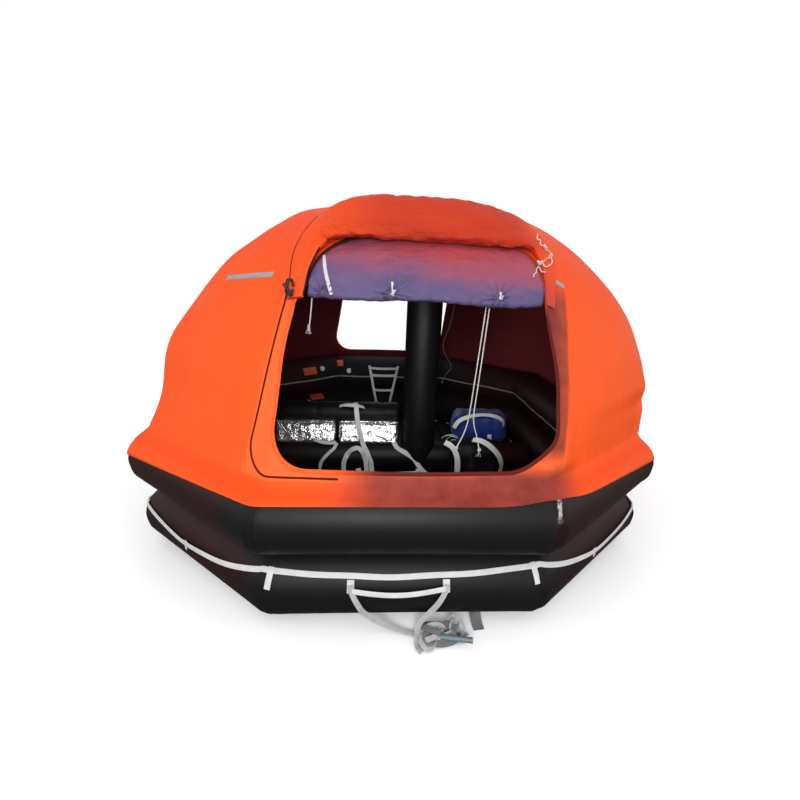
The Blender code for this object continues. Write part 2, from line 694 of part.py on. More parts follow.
# Towing patch on the left and the right of the lower tube, hollow behind to lie on the tube, flat outside
TOW_HALF_WIDTH = 0.09
TOW_HALF_HEIGHT = 0.05
TOW_FACE = LOWER_SIZE + TUBE_RADIUS + 0.008
tow_rings = []
for side in (-1, 1):
    y = side * TOW_HALF_WIDTH
    ring = [Vector((TOW_FACE, y, LOWER_HEIGHT + z)) for z in (-TOW_HALF_HEIGHT, TOW_HALF_HEIGHT)]
    for k in range(7):
        z = TOW_HALF_HEIGHT * (1 - k / 3)
        x = LOWER_SIZE + sqrt((TUBE_RADIUS + 0.001) ** 2 - z**2)
        ring.append(Vector((x, y, LOWER_HEIGHT + z)))
    tow_rings.append(ring)
tow_right = new_object("towing_patch_right", loft(tow_rings), tube_rubber)
mirrored_copy("towing_patch_left", tow_right, axis="X")


def smooth_route(points, step):
    """Points a step apart on a smooth curve through the route."""
    dense = []
    ends = [points[0] * 2 - points[1]] + points + [points[-1] * 2 - points[-2]]
    for i in range(1, len(ends) - 2):
        a, b, c, d = ends[i - 1 : i + 3]
        for k in range(12):
            t = k / 12
            bend = (2 * a - 5 * b + 4 * c - d) * t**2 + (3 * b - a - 3 * c + d) * t**3
            dense.append(0.5 * (2 * b + (c - a) * t + bend))
    dense.append(points[-1])
    kept = [dense[0]]
    run = 0.0
    for before, after in zip(dense, dense[1:]):
        run += (after - before).length
        if run >= step:
            kept.append(after)
            run = 0.0
    kept[-1] = dense[-1]
    return kept


def cord(name, route, diameter, finish):
    """A round cord along a smooth curve through its route."""
    line = bpy.data.curves.new(name, "CURVE")
    line.dimensions = "3D"
    line.bevel_depth = diameter / 2
    line.bevel_resolution = 2
    line.use_fill_caps = True
    points = smooth_route([Vector(p) for p in route], max(diameter * 3, 0.02))
    spline = line.splines.new("POLY")
    spline.points.add(len(points) - 1)
    for target, point in zip(spline.points, points):
        target.co = (*point, 1)
    line.materials.append(finish)
    made = bpy.data.objects.new(name, line)
    bpy.context.scene.collection.objects.link(made)
    return made


# Cords that hang from the curtain inside the front door
CORD_TOP = 1.466
CORD = 0.006
DARK_CORD = 0.004
cord_left = (
    (0.361, -1.040, CORD_TOP),
    (0.352, -1.040, 1.300),
    (0.340, -1.038, 1.080),
    (0.331, -1.035, 0.930),
    (0.319, -1.030, 0.830),
    (0.281, -1.025, 0.722),
)
cord_right = (
    (0.377, -1.040, CORD_TOP),
    (0.369, -1.040, 1.280),
    (0.359, -1.040, 1.070),
    (0.352, -1.040, 0.930),
    (0.358, -1.035, 0.864),
    (0.381, -1.030, 0.792),
    (0.404, -1.025, 0.712),
)
cord_dark = (
    (0.212, -1.040, CORD_TOP),
    (0.195, -1.040, 1.364),
    (0.169, -1.040, 1.258),
    (0.215, -1.040, 1.166),
    (0.194, -1.040, 1.125),
    (0.177, -1.040, 1.084),
)
cord_short = (
    (-0.452, -1.020, CORD_TOP),
    (-0.457, -1.020, 1.420),
    (-0.463, -1.020, 1.370),
    (-0.472, -1.020, 1.315),
)
cord("curtain_cord_left", cord_left, CORD, cord_white)
cord("curtain_cord_right", cord_right, CORD, cord_white)
cord("curtain_cord_dark", cord_dark, DARK_CORD, cord_black)
cord("door_cord_short", cord_short, CORD, cord_white)
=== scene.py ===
"""Looks of the inflatable life raft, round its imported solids. Metres, +Z up, the front door faces -Y."""

from math import atan2, cos, exp, hypot, pi, radians, sin, sqrt

import bmesh
import bpy
import numpy as np
from mathutils import Matrix, Vector, noise
from mathutils.bvhtree import BVHTree


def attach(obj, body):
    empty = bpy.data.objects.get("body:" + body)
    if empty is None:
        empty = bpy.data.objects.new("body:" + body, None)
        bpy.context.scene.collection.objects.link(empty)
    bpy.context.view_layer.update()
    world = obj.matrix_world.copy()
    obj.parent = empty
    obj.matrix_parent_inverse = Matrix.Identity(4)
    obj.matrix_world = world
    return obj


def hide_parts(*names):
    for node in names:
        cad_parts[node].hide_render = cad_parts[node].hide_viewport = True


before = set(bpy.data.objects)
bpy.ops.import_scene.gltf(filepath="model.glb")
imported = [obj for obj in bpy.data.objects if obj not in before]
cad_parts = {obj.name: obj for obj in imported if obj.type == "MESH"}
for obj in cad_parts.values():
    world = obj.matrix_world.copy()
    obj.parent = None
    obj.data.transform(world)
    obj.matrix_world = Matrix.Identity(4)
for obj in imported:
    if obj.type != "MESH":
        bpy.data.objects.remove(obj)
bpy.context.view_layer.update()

# Camera, floor and light
# A phone held at head height, about three metres from the raft's middle and turned a little to the right.
# The floor and the walls are pale, and the light is broad and soft, from above and in front.
EYE = Vector((-0.1429, -2.9104, 1.5849))
LOOK_DOWN = 0.3093
TURN_RIGHT = 0.0611
LEAN = 0.038
FOCAL_PIXELS = 393.35
PICTURE = 800
SENSOR = 36

sight = Vector((sin(TURN_RIGHT) * cos(LOOK_DOWN), cos(TURN_RIGHT) * cos(LOOK_DOWN), -sin(LOOK_DOWN)))
level = Vector((cos(TURN_RIGHT), -sin(TURN_RIGHT), 0))
upward = level.cross(sight)
side = level * cos(LEAN) + upward * sin(LEAN)
top = upward * cos(LEAN) - level * sin(LEAN)
lens = bpy.data.cameras.new("camera")
lens.sensor_width = SENSOR
lens.lens = FOCAL_PIXELS / PICTURE * SENSOR
camera = bpy.data.objects.new("camera", lens)
camera.matrix_world = Matrix.Translation(EYE) @ Matrix((side, top, -sight)).transposed().to_4x4()
bpy.context.scene.collection.objects.link(camera)
bpy.context.scene.camera = camera
bpy.context.scene.view_settings.view_transform = "Standard"


class Wire:
    """One socket of a material's nodes, with Python's operators for its maths."""

    def __init__(self, tree, socket):
        self.tree = tree
        self.socket = socket

    def node(self, kind, settings=None, inputs=None, output=0):
        """Adds a node, sets it up, feeds its sockets and gives one of its outputs."""
        made = self.tree.nodes.new(kind)
        for name, value in (settings or {}).items():
            setattr(made, name, value)
        for name, value in (inputs or {}).items():
            if isinstance(value, Wire):
                self.tree.links.new(value.socket, made.inputs[name])
            else:
                made.inputs[name].default_value = value
        return Wire(self.tree, made.outputs[output])

    def maths(self, operation, *others):
        """A Math node with this value first."""
        return self.node("ShaderNodeMath", {"operation": operation}, dict(enumerate((self, *others))))

    def __add__(self, other):
        return self.maths("ADD", other)

    def __mul__(self, other):
        return self.maths("MULTIPLY", other)

    def __sub__(self, other):
        return self.maths("SUBTRACT", other)

    def __rsub__(self, other):
        return self.node("ShaderNodeMath", {"operation": "SUBTRACT"}, {0: other, 1: self})

    def __abs__(self):
        return self.maths("ABSOLUTE")

    __radd__ = __add__
    __rmul__ = __mul__

    def part(self, axis):
        """One coordinate of a vector."""
        return self.node("ShaderNodeSeparateXYZ", {}, {0: self}, "XYZ".index(axis))

    def upward(self, low, high):
        """0 to 1 as the surface turns its face up."""
        return self.node("ShaderNodeNewGeometry", output="Normal").part("Z").smooth(low, high)

    def lay(self):
        """The cloth's own coordinates: along it, and across it."""
        return self.node("ShaderNodeAttribute", {"attribute_name": "lay"}, output="Vector")

    def stretch(self, x, y, z):
        """A vector with each coordinate scaled."""
        return self.node("ShaderNodeVectorMath", {"operation": "MULTIPLY"}, {0: self, 1: (x, y, z)})

    def smooth(self, low, high):
        """0 below low, 1 above high, and a smooth step between."""
        settings = {"interpolation_type": "SMOOTHSTEP"}
        return self.node("ShaderNodeMapRange", settings, {"Value": self, "From Min": low, "From Max": high})

    def noise(self, scale, detail=2.0, roughness=0.5):
        """Noise from 0 to 1 at this place."""
        inputs = {"Vector": self, "Scale": scale, "Detail": detail, "Roughness": roughness}
        return self.node("ShaderNodeTexNoise", {}, inputs)

    def blend(self, low, high):
        """A colour from low to high as this value goes from 0 to 1."""
        pair = [value if isinstance(value, Wire) else (*value, 1) for value in (low, high)]
        settings = {"data_type": "RGBA"}
        return self.node("ShaderNodeMix", settings, {0: self, 6: pair[0], 7: pair[1]}, 2)


def finish(name, paint, **constants):
    """A material. Constants go on the shader's own sockets, and paint feeds what changes over the surface."""
    made = bpy.data.materials.new(name)
    made.use_nodes = True
    tree = made.node_tree
    shader = tree.nodes["Principled BSDF"]
    for socket, value in constants.items():
        shader.inputs[socket.replace("_", " ")].default_value = value
    place = Wire(tree, tree.nodes.new("ShaderNodeTexCoord").outputs["Object"])
    for socket, value in paint(place).items():
        if socket == "Bump":
            inputs = {"Height": value, "Distance": 1.0, "Strength": 1.0}
            tree.links.new(place.node("ShaderNodeBump", {}, inputs).socket, shader.inputs["Normal"])
        else:
            tree.links.new(value.socket, shader.inputs[socket])
    return made


def show(name, mesh, material):
    """Links a mesh to the scene as an object with one material."""
    mesh.materials.append(material)
    made = bpy.data.objects.new(name, mesh)
    bpy.context.scene.collection.objects.link(made)
    return made


def soft_light(name, place, aim, size, power):
    """A square lamp that looks at a point."""
    lamp = bpy.data.lights.new(name, "AREA")
    lamp.shape = "RECTANGLE"
    lamp.size, lamp.size_y = size
    lamp.energy = power
    made = bpy.data.objects.new(name, lamp)
    made.location = place
    made.rotation_euler = (Vector(aim) - Vector(place)).to_track_quat("-Z", "Y").to_euler()
    bpy.context.scene.collection.objects.link(made)


for light in (
    ("front_light", (-1.2, -6.5, 5.0), (0, 0, 0.8), (5.0, 3.0), 60),
    ("door_light", (-0.2, -4.3, 1.75), (0, 0, 0.6), (1.2, 0.9), 62),
    ("kit_light", (-0.4, -0.9, 1.32), (-0.3, 0, 0.42), (0.4, 0.2), 2.2),
    ("strap_light", (0.1, -0.8, 1.15), (0.12, -0.15, 0.25), (0.6, 0.2), 2.6),
):
    soft_light(*light)

SKY_LIGHT = 0.97
FLOOR_REACH = 30
world = bpy.data.worlds.new("studio")
world.use_nodes = True
bpy.context.scene.world = world
backdrop = world.node_tree.nodes["Background"]
backdrop.inputs["Color"].default_value = (1, 1, 1, 1)
sky = Wire(world.node_tree, world.node_tree.nodes.new("ShaderNodeLightPath").outputs["Is Camera Ray"])
brightness = sky * (1 - SKY_LIGHT) + SKY_LIGHT
world.node_tree.links.new(brightness.socket, backdrop.inputs["Strength"])


def studio_paint(place):
    """White to the eye, and dark grey to the light that bounces, as a far bigger room would be."""
    seen = place.node("ShaderNodeLightPath")
    return {
        "Base Color": seen.blend((0.11, 0.11, 0.11), (0.97, 0.97, 0.97)),
        "Emission Color": seen.blend((0, 0, 0), (0.1, 0.1, 0.1)),
        "Bump": place.noise(40.0) * 0.0003,
    }


floor_mesh = bpy.data.meshes.new("studio_floor")
corners = [(x * FLOOR_REACH, y * FLOOR_REACH, -0.001) for x, y in ((-1, -1), (1, -1), (1, 1), (-1, 1))]
floor_mesh.from_pydata(corners, [], [(0, 1, 2, 3)])
floor_look = finish("studio_floor", studio_paint, Roughness=0.9, Emission_Strength=1.0)
show("studio_floor", floor_mesh, floor_look)

# Buoyancy tubes
# Two closed eight-sided tubes of black rubber-coated cloth, one on the other and pumped hard. Each is glued
# together from straight lengths cut to a mitre, with a rubber tape over every joint.
HALF_SIZE = 1.35
END_HALF = 0.606
SIDE_HALF = 0.771
LOWER_SHARE = 0.976
TUBE_RADIUS = 0.18
TUBE_STEPS = 48
CORNER_SPREAD = 0.02
SEAM_TAPE = 0.055
TAPE_THICK = 0.0016
TAPE_EDGE = 0.0012
UPPER_HEIGHT = TUBE_RADIUS + sqrt((2 * TUBE_RADIUS) ** 2 - (HALF_SIZE * (1 - LOWER_SHARE)) ** 2)
UPPER_TOP = UPPER_HEIGHT + TUBE_RADIUS
CORNERS = np.array((
    (HALF_SIZE, -SIDE_HALF), (HALF_SIZE, SIDE_HALF), (END_HALF, HALF_SIZE), (-END_HALF, HALF_SIZE),
    (-HALF_SIZE, SIDE_HALF), (-HALF_SIZE, -SIDE_HALF), (-END_HALF, -HALF_SIZE), (END_HALF, -HALF_SIZE),
))
BACK_RIGHT, BACK, BACK_LEFT, LEFT, FRONT_LEFT = range(1, 6)
FRONT_RIGHT = 7
PLAN_STEPS = 2048

sides = np.roll(CORNERS, -1, axis=0) - CORNERS
SIDE_LENGTHS = np.linalg.norm(sides, axis=1)
CORNER_RUNS = np.concatenate(([0.0], np.cumsum(SIDE_LENGTHS)))
ROUND = CORNER_RUNS[-1]
ways_out = np.stack((sides[:, 1], -sides[:, 0]), axis=1) / SIDE_LENGTHS[:, None]
before = np.roll(ways_out, 1, axis=0)
MITRES = (before + ways_out) / (1 + (before * ways_out).sum(axis=1))[:, None]


def soften(values, spread, wrap=True):
    """Values smoothed along their first axis, by a spread counted in steps."""
    reach = int(3 * spread) + 1
    shares = np.exp(-0.5 * (np.arange(-reach, reach + 1) / spread) ** 2)
    steps = np.arange(len(values))
    total = 0
    for k, share in enumerate(shares / shares.sum()):
        near = steps + k - reach
        near = near % len(steps) if wrap else np.clip(near, 0, len(steps) - 1)
        total = total + share * values[near]
    return total


def plan_table(spread):
    """The plan's centre line and its way out at small steps round the raft, with corners softened."""
    runs = np.linspace(0, ROUND, PLAN_STEPS, endpoint=False)
    table = np.hstack((CORNERS, MITRES))
    columns = [np.interp(runs, CORNER_RUNS[:8], column, period=ROUND) for column in table.T]
    return runs, soften(np.stack(columns, axis=1), spread * PLAN_STEPS / ROUND)


PLAN = plan_table(CORNER_SPREAD)


def plan_at(runs, plan=PLAN):
    """The centre line and the way out at distances round the raft, from the right side's front end on."""
    table = [np.interp(runs, plan[0], column, period=ROUND) for column in plan[1].T]
    return np.stack(table[:2], axis=-1), np.stack(table[2:], axis=-1)


def from_corner(runs):
    """The distance to the nearest corner, with its sign, and which corner that is."""
    apart = (np.asarray(runs)[..., None] - CORNER_RUNS[:8] + ROUND / 2) % ROUND - ROUND / 2
    nearest = np.abs(apart).argmin(axis=-1)
    return np.take_along_axis(apart, nearest[..., None], axis=-1)[..., 0], nearest


def grid_faces(rows, columns, wrap_rows=False, wrap_columns=False, start=0):
    """Four-sided faces over a grid of points."""
    faces = []
    for i in range(rows if wrap_rows else rows - 1):
        low = start + i * columns
        high = start + (i + 1) % rows * columns
        for j in range(columns if wrap_columns else columns - 1):
            k = (j + 1) % columns
            faces.append((low + j, low + k, high + k, high + j))
    return faces


def build(name, points, faces, material, nodes=(), slot=None, lay=None, sharp=50, outward=True):
    """A mesh that rides on the raft and stands for the solids named. lay is its own cloth's coordinates."""
    mesh = bpy.data.meshes.new(name)
    points = np.asarray(points, dtype=float).reshape(-1, 3)
    mesh.from_pydata(points.tolist(), [], faces)
    if lay is not None:
        values = np.zeros((len(points), 3), dtype=np.float32)
        values[:, :2] = np.asarray(lay, dtype=np.float32).reshape(-1, 2)
        mesh.attributes.new("lay", "FLOAT_VECTOR", "POINT").data.foreach_set("vector", values.ravel())
    if outward:
        shape = bmesh.new()
        shape.from_mesh(mesh)
        bmesh.ops.recalc_face_normals(shape, faces=shape.faces)
        shape.to_mesh(mesh)
        shape.free()
    mesh.shade_smooth()
    mesh.set_sharp_from_angle(angle=radians(sharp))
    made = show(name, mesh, material)
    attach(made, "root")
    if nodes:
        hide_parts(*nodes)
    return made


def other_end(source, nodes=(), axis=1):
    """The same piece mirrored to the raft's other end, or to its other side with axis 0, and named for it."""
    words = ({"right": "left"}, {"front": "back", "back": "front"})[axis]
    names = [name.split("_") for name in (source.name, *nodes)]
    name, *solids = ["_".join(words.get(word, word) for word in name) for name in names]
    mesh = source.data.copy()
    mesh.transform(Matrix.Diagonal([-1 if k == axis else 1 for k in range(4)]))
    mesh.flip_normals()
    made = bpy.data.objects.new(name, mesh)
    bpy.context.scene.collection.objects.link(made)
    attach(made, "root")
    if nodes:
        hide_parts(*solids)
    return made


class Heap:
    """Gathers several closed shapes into the points, faces and cloth coordinates of one mesh."""

    def __init__(self):
        self.points = []
        self.faces = []
        self.lay = []
        self.count = 0

    def add(self, points, faces, lay=None):
        """Adds one shape."""
        points = np.asarray(points).reshape(-1, 3)
        self.points.append(points)
        self.faces += [tuple(self.count + k for k in face) for face in faces]
        self.lay.append(np.zeros((len(points), 2)) if lay is None else np.asarray(lay).reshape(-1, 2))
        self.count += len(points)

    def carry(self, path, section, hint):
        """Adds a section carried along a path, closed at both ends."""
        rings, lay = carry(np.asarray(path, dtype=float), section, hint)
        self.add(rings, capped(rings), lay)

    def build(self, name, material, nodes=(), slot=None, sharp=50):
        """One mesh of all shapes added."""
        points, lay = np.concatenate(self.points), np.concatenate(self.lay)
        return build(name, points, self.faces, material, nodes, slot, lay, sharp)

    def build_both(self, name, material, nodes=(), slot=None, axis=1):
        """The mesh, and its mirror image at the raft's other end, or at its other side with axis 0."""
        made = self.build(name, material, nodes, slot)
        return made, other_end(made, nodes, axis)


def tube_stations():
    """Distances round the raft, close together at the corners."""
    near = np.array((0, 0.008, 0.016, 0.026, 0.038, 0.052, 0.07, 0.095, 0.13, 0.18))
    runs = []
    for start, length in zip(CORNER_RUNS, SIDE_LENGTHS):
        middle = np.linspace(0.24, length - 0.24, int(length / 0.05))
        runs += [start + near, start + middle, start + length - near[:0:-1]]
    return np.concatenate(runs)


def tube_surface(runs, turns, share, height, proud=0.0):
    """Points on a buoyancy tube, with the puckers that a mitred seam has and the tube's slow unevenness."""
    line, way = plan_at(runs)
    away, corner = from_corner(runs)
    groove = -0.003 * np.exp(-((away / 0.02) ** 2))
    pucker = np.exp(-((away / 0.06) ** 2))[:, None]
    ripple = 0.0016 * np.sin(11 * turns[None, :] + 2.4 * corner[:, None] + 30 * away[:, None]) * pucker
    wave = 0.0022 * np.sin(2.3 * runs[:, None] + 2 * np.sin(turns[None, :] + share * 20))
    radius = TUBE_RADIUS - 0.002 + groove[:, None] + ripple + wave + proud
    out = radius * np.cos(turns)
    place = line[:, None, :] * share + way[:, None, :] * out[..., None]
    return np.concatenate((place, (height + radius * np.sin(turns))[..., None]), axis=-1)


def rubber_paint(place):
    """Black rubber-coated cloth: a fine weave, slow patches, tops paler by dusting and a painted highlight, a
    painted red reflection on the sides, and a painted highlight at one front corner.
    """
    x, y, z = (place.part(axis) for axis in "XYZ")
    cloudy = place.noise(3.5, 4.0, 0.6)
    # Faces that look up are paler: partly dusting and partly a painted highlight.
    top_dust_and_sheen = place.upward(0.2, 1.0)
    wear_dust_and_sheen = (place.noise(22.0, 5.0, 0.7).smooth(0.55, 0.8) * 0.35 + top_dust_and_sheen * cloudy * 0.45).maths("MINIMUM", 1.0)
    weave = place.noise(420.0, 1.0) * 0.00012
    slack = place.noise(9.0, 2.0) * 0.0012
    # Painted reflection: the tubes' left and right sides are tinged dark red.
    side_red_reflection = (abs(x) + place.noise(2.6, 3.0) * 0.5).smooth(0.85, 1.15)
    tone = wear_dust_and_sheen.blend((0.0045, 0.0045, 0.005), (0.016, 0.0155, 0.016))
    tone = (side_red_reflection * 0.75).blend(tone, cloudy.blend((0.01, 0.0035, 0.0035), (0.04, 0.004, 0.0042)))
    # Painted highlight: a pale streak down the mitre at the front right corner of the upper tube.
    corner_highlight = 1 - abs(x - z * 0.16 + place.noise(30.0, 3.0) * 0.02 - 0.557).smooth(0.005, 0.014)
    corner_highlight = corner_highlight * z.smooth(0.595, 0.63) * (1 - z.smooth(0.69, 0.715)) * (1 - y.smooth(-1.35, -1.25))
    corner_highlight = corner_highlight * place.noise(48.0, 3.0, 0.7).smooth(0.3, 0.52)
    return {
        "Base Color": corner_highlight.blend(tone, (0.4, 0.4, 0.41)),
        "Roughness": cloudy * 0.16 + 0.4 + y.smooth(0.3, 1.1) * 0.3,
        "Bump": weave + slack,
    }


rubber = finish("tube_rubber", rubber_paint, Specular_IOR_Level=0.22)
seam_rubber = finish("seam_rubber", rubber_paint, Specular_IOR_Level=0.18)
turns = np.linspace(0, 2 * pi, TUBE_STEPS, endpoint=False)
tube_runs = tube_stations()
tape_offsets = np.linspace(-SEAM_TAPE / 2, SEAM_TAPE / 2, 11)
tape_offsets[[0, -1]] = tape_offsets[1] - TAPE_EDGE, tape_offsets[-2] + TAPE_EDGE
tape_lift = np.array([-0.0005, *[TAPE_THICK] * 9, -0.0005])[:, None]
for label, share, height in (("lower", LOWER_SHARE, TUBE_RADIUS), ("upper", 1.0, UPPER_HEIGHT)):
    points = tube_surface(tube_runs, turns, share, height)
    faces = grid_faces(len(tube_runs), TUBE_STEPS, True, True)
    build(f"{label}_tube_skin", points, faces, rubber, (f"{label}_buoyancy_tube",), "tube_rubber")
    tapes = Heap()
    for corner in range(8):
        strip = tube_surface(CORNER_RUNS[corner] + tape_offsets, turns, share, height, tape_lift)
        tapes.add(strip, grid_faces(len(tape_offsets), TUBE_STEPS, False, True))
    tapes.build(f"{label}_tube_seam_tapes", seam_rubber, slot="tube_rubber")

# Floor
# A double sheet of rubber-coated cloth, blown up between rows of stitching so that it lies in long soft
# ribs. Its edge is glued to the lower tube all round.
FLOOR_LOW = 0.0125
FLOOR_HIGH = 0.06
RIB_PITCH = 0.115
RIB_DIP = 0.013
FLOOR_EDGE = 0.14


def uneven(points, size, seed):
    """Smooth noise from -1 to 1 at each point, with bumps of about this size."""
    shift = Vector((seed * 7.3, seed * 3.1, seed * 5.7))
    flat = [noise.noise(Vector(p) / size + shift) for p in points.reshape(-1, 3)]
    return np.array(flat).reshape(points.shape[:-1])


inner = CORNERS * LOWER_SHARE - MITRES * FLOOR_EDGE
floor_half, floor_side, floor_end = inner[0][0], abs(inner[0][1]), inner[2][0]
floor_x = np.linspace(-floor_half, floor_half, 221)
floor_y = np.interp(np.abs(floor_x), (0, floor_end, floor_half), (floor_half, floor_half, floor_side))
spread = np.sin(np.linspace(-pi / 2, pi / 2, 41))
plan_x, plan_y = np.broadcast_arrays(floor_x[:, None], floor_y[:, None] * spread[None, :])
from_seam = np.abs((plan_x / RIB_PITCH) % 1 - 0.5) * RIB_PITCH
rise = FLOOR_HIGH - RIB_DIP * np.exp(-((from_seam / 0.016) ** 2))
rise = rise - 0.012 * np.maximum(0, np.abs(spread[None, :]) - 0.97) / 0.03
floor_top = np.stack((plan_x, plan_y, rise), axis=-1)
floor_top[..., 2] += 0.002 * uneven(floor_top, 0.25, 1)


def closed_sheet(over, under):
    """Points and faces of a flat body between an upper and a lower grid, closed round its rim."""
    rows, columns = over.shape[:2]
    rim = [(i, 0) for i in range(rows)] + [(rows - 1, j) for j in range(1, columns)]
    rim += [(i, columns - 1) for i in range(rows - 2, -1, -1)] + [(0, j) for j in range(columns - 2, 0, -1)]
    rim = [i * columns + j for i, j in rim]
    count = rows * columns
    faces = grid_faces(rows, columns) + grid_faces(rows, columns, start=count)
    faces += [(a, b, b + count, a + count) for a, b in zip(rim, rim[1:] + rim[:1])]
    return np.concatenate((over.reshape(-1, 3), under.reshape(-1, 3))), faces


def mottled(dark, light, grain, rough=None, edges=None, bumps=()):
    """The paint of a plain stuff: patches from dark to light, rougher where light, over fine bumps."""

    def paint(place):
        patch = place.noise(*grain)
        if edges:
            patch = patch.smooth(*edges)
        made = {"Base Color": patch.blend(dark, light)}
        if rough:
            made["Roughness"] = patch * 0.2 + rough
        if bumps:
            made["Bump"] = sum(place.stretch(*shape).noise(*fine) * height for height, shape, fine in bumps)
        return made

    return paint


# Matt rubber-coated cloth with scuffs and a fine weave
EVEN = (1, 1, 1)
floor_weave = ((0.0002, EVEN, (300.0, 1.0)),)
floor_tones = ((0.01, 0.01, 0.011), (0.03, 0.029, 0.029))
floor_paint = mottled(*floor_tones, (6.0, 5.0, 0.7), 0.6, (0.5, 0.75), floor_weave)
floor_cloth = finish("floor_rubber", floor_paint, Specular_IOR_Level=0.3)
floor_points, floor_faces = closed_sheet(floor_top, floor_top * (1, 1, 0) + (0, 0, FLOOR_LOW))
build("inflated_floor", floor_points, floor_faces, floor_cloth, ("floor",), "floor_rubber")

# Ballast pockets
# Four open bags of coated cloth, sewn under the floor. They hang full of water at sea and lie pressed flat
# ashore.
POCKET_REACH = 0.9
POCKET_LONG = 0.31
POCKET_WIDE = 0.2
long = np.linspace(-POCKET_LONG, POCKET_LONG, 32)
wide = np.linspace(-POCKET_WIDE, POCKET_WIDE, 22)
grid_x, grid_y = np.meshgrid(wide, long, indexing="ij")
shell = (1 - (grid_x / POCKET_WIDE) ** 8) * (1 - (grid_y / POCKET_LONG) ** 8)
for k in range(4):
    turned = Matrix.Rotation(-pi / 4 - k * pi / 2, 3, "Z")
    place = np.stack((POCKET_REACH + grid_x, grid_y, 0 * grid_x), axis=-1) @ np.array(turned)
    over = 0.006 + shell * (0.0035 + 0.0018 * uneven(place, 0.05, k))
    layers = [place + height[..., None] * (0, 0, 1) for height in (over, 0.0045 - shell * 0.0045)]
    build(
        f"flat_ballast_pocket_{k + 1}",
        *closed_sheet(*layers),
        floor_cloth,
        (f"ballast_pocket_{k + 1}",),
        "floor_rubber",
    )

# Thwart, column and roof arch
# Three more inflated tubes of the same cloth. The thwart braces the floor from side to side, the column
# stands on it on a saddle patch, and the arch bows over the column to hold the canopy up.
THWART_RADIUS = 0.12
THWART_HEIGHT = FLOOR_HIGH + THWART_RADIUS + 0.0004
THWART_REACH = 1.134
COLUMN_X = 0.19
COLUMN_RADIUS = 0.13
COLUMN_TOP = 1.7
ARCH_RADIUS = 0.061
ARCH_MARGIN = 0.112
CANOPY_LEAN = 0.0775


def distances(path):
    """How far each point of a path lies along it."""
    return np.concatenate(([0], np.cumsum(np.linalg.norm(np.diff(path, axis=0), axis=1))))


def smooth_line(points, step):
    """Points a step apart on a smooth curve through the given ones. Columns after the third go along."""
    points = np.asarray(points, dtype=float)
    ends = np.vstack((2 * points[0] - points[1], points, 2 * points[-1] - points[-2]))
    dense = []
    for a, b, c, d in zip(ends, ends[1:], ends[2:], ends[3:]):
        for t in np.arange(0, 1, 1 / 16):
            bend = (2 * a - 5 * b + 4 * c - d) * t**2 + (3 * b - a - 3 * c + d) * t**3
            dense.append(0.5 * (2 * b + (c - a) * t + bend))
    dense = np.array(dense + [points[-1]])
    runs = distances(dense[:, :3])
    wanted = np.linspace(0, runs[-1], max(3, int(round(runs[-1] / step)) + 1))
    return np.stack([np.interp(wanted, runs, column) for column in dense.T], axis=1)


def unit(vectors):
    """Vectors scaled to length 1."""
    return vectors / np.maximum(np.linalg.norm(vectors, axis=-1, keepdims=True), 1e-9)


def carry(path, section, hint):
    """A section carried along a path. Its first coordinate goes towards the hint, its second goes across."""
    ahead = unit(np.gradient(path, axis=0))
    hint = np.broadcast_to(hint, path.shape)
    outward = unit(hint - ahead * (hint * ahead).sum(axis=1, keepdims=True))
    across = np.cross(ahead, outward)
    section = np.broadcast_to(section, (len(path), *np.shape(section)[-2:]))
    rings = path[:, None, :] + outward[:, None, :] * section[..., :1] + across[:, None, :] * section[..., 1:]
    runs = distances(path)
    lay = np.stack((np.broadcast_to(runs[:, None], section.shape[:2]), section[..., 1]), axis=-1)
    return rings, lay


def capped(rings):
    """Faces round a carried section, with both ends closed."""
    rows, columns = rings.shape[:2]
    last = (rows - 1) * columns
    caps = [tuple(range(columns)), tuple(range(last, last + columns))]
    return grid_faces(rows, columns, False, True) + caps


def circle(sides, radius, squash=1.0):
    """A round or flattened section."""
    turns = np.linspace(0, 2 * pi, sides, endpoint=False)
    return np.stack((np.cos(turns) * squash, np.sin(turns)), axis=1) * radius


def dome(places, low, high, radius, reach):
    """Radii of a tube whose two ends close in a shallow dome."""
    near = np.minimum(places - low, high - places) / reach
    return radius * np.sqrt(1 - (1 - np.clip(near, 0.0, 1.0)) ** 2 * 0.97)


def inflated(name, path, radii, node, hint, seams, sides=40):
    """A pumped-up tube along a path, a little uneven, with a lapped seam along it and tapes round it."""
    runs = distances(path)
    section = circle(sides, 1.0)
    wave = 1 + 0.01 * np.sin(5 * runs[:, None] + 2 * np.arctan2(section[:, 1], section[:, 0]))
    lap = 1 + (0.0016 / radii[:, None]) * (np.abs(np.arange(sides)[None, :] - sides * 0.62) < 1.6)
    rings = section[None, :, :] * (radii[:, None] * wave * lap)[..., None]
    heap = Heap()
    heap.carry(path, rings, hint)
    for place in seams:
        near = np.abs(runs - place) < 0.028
        strip = path[near]
        edge = np.where(np.abs(runs[near] - place) < 0.022, 0.0018, 0.0002)
        heap.carry(strip, section[None] * ((radii[near, None] * wave[near]) + edge[:, None])[..., None], hint)
    heap.build(name, rubber, (node,), "tube_rubber")


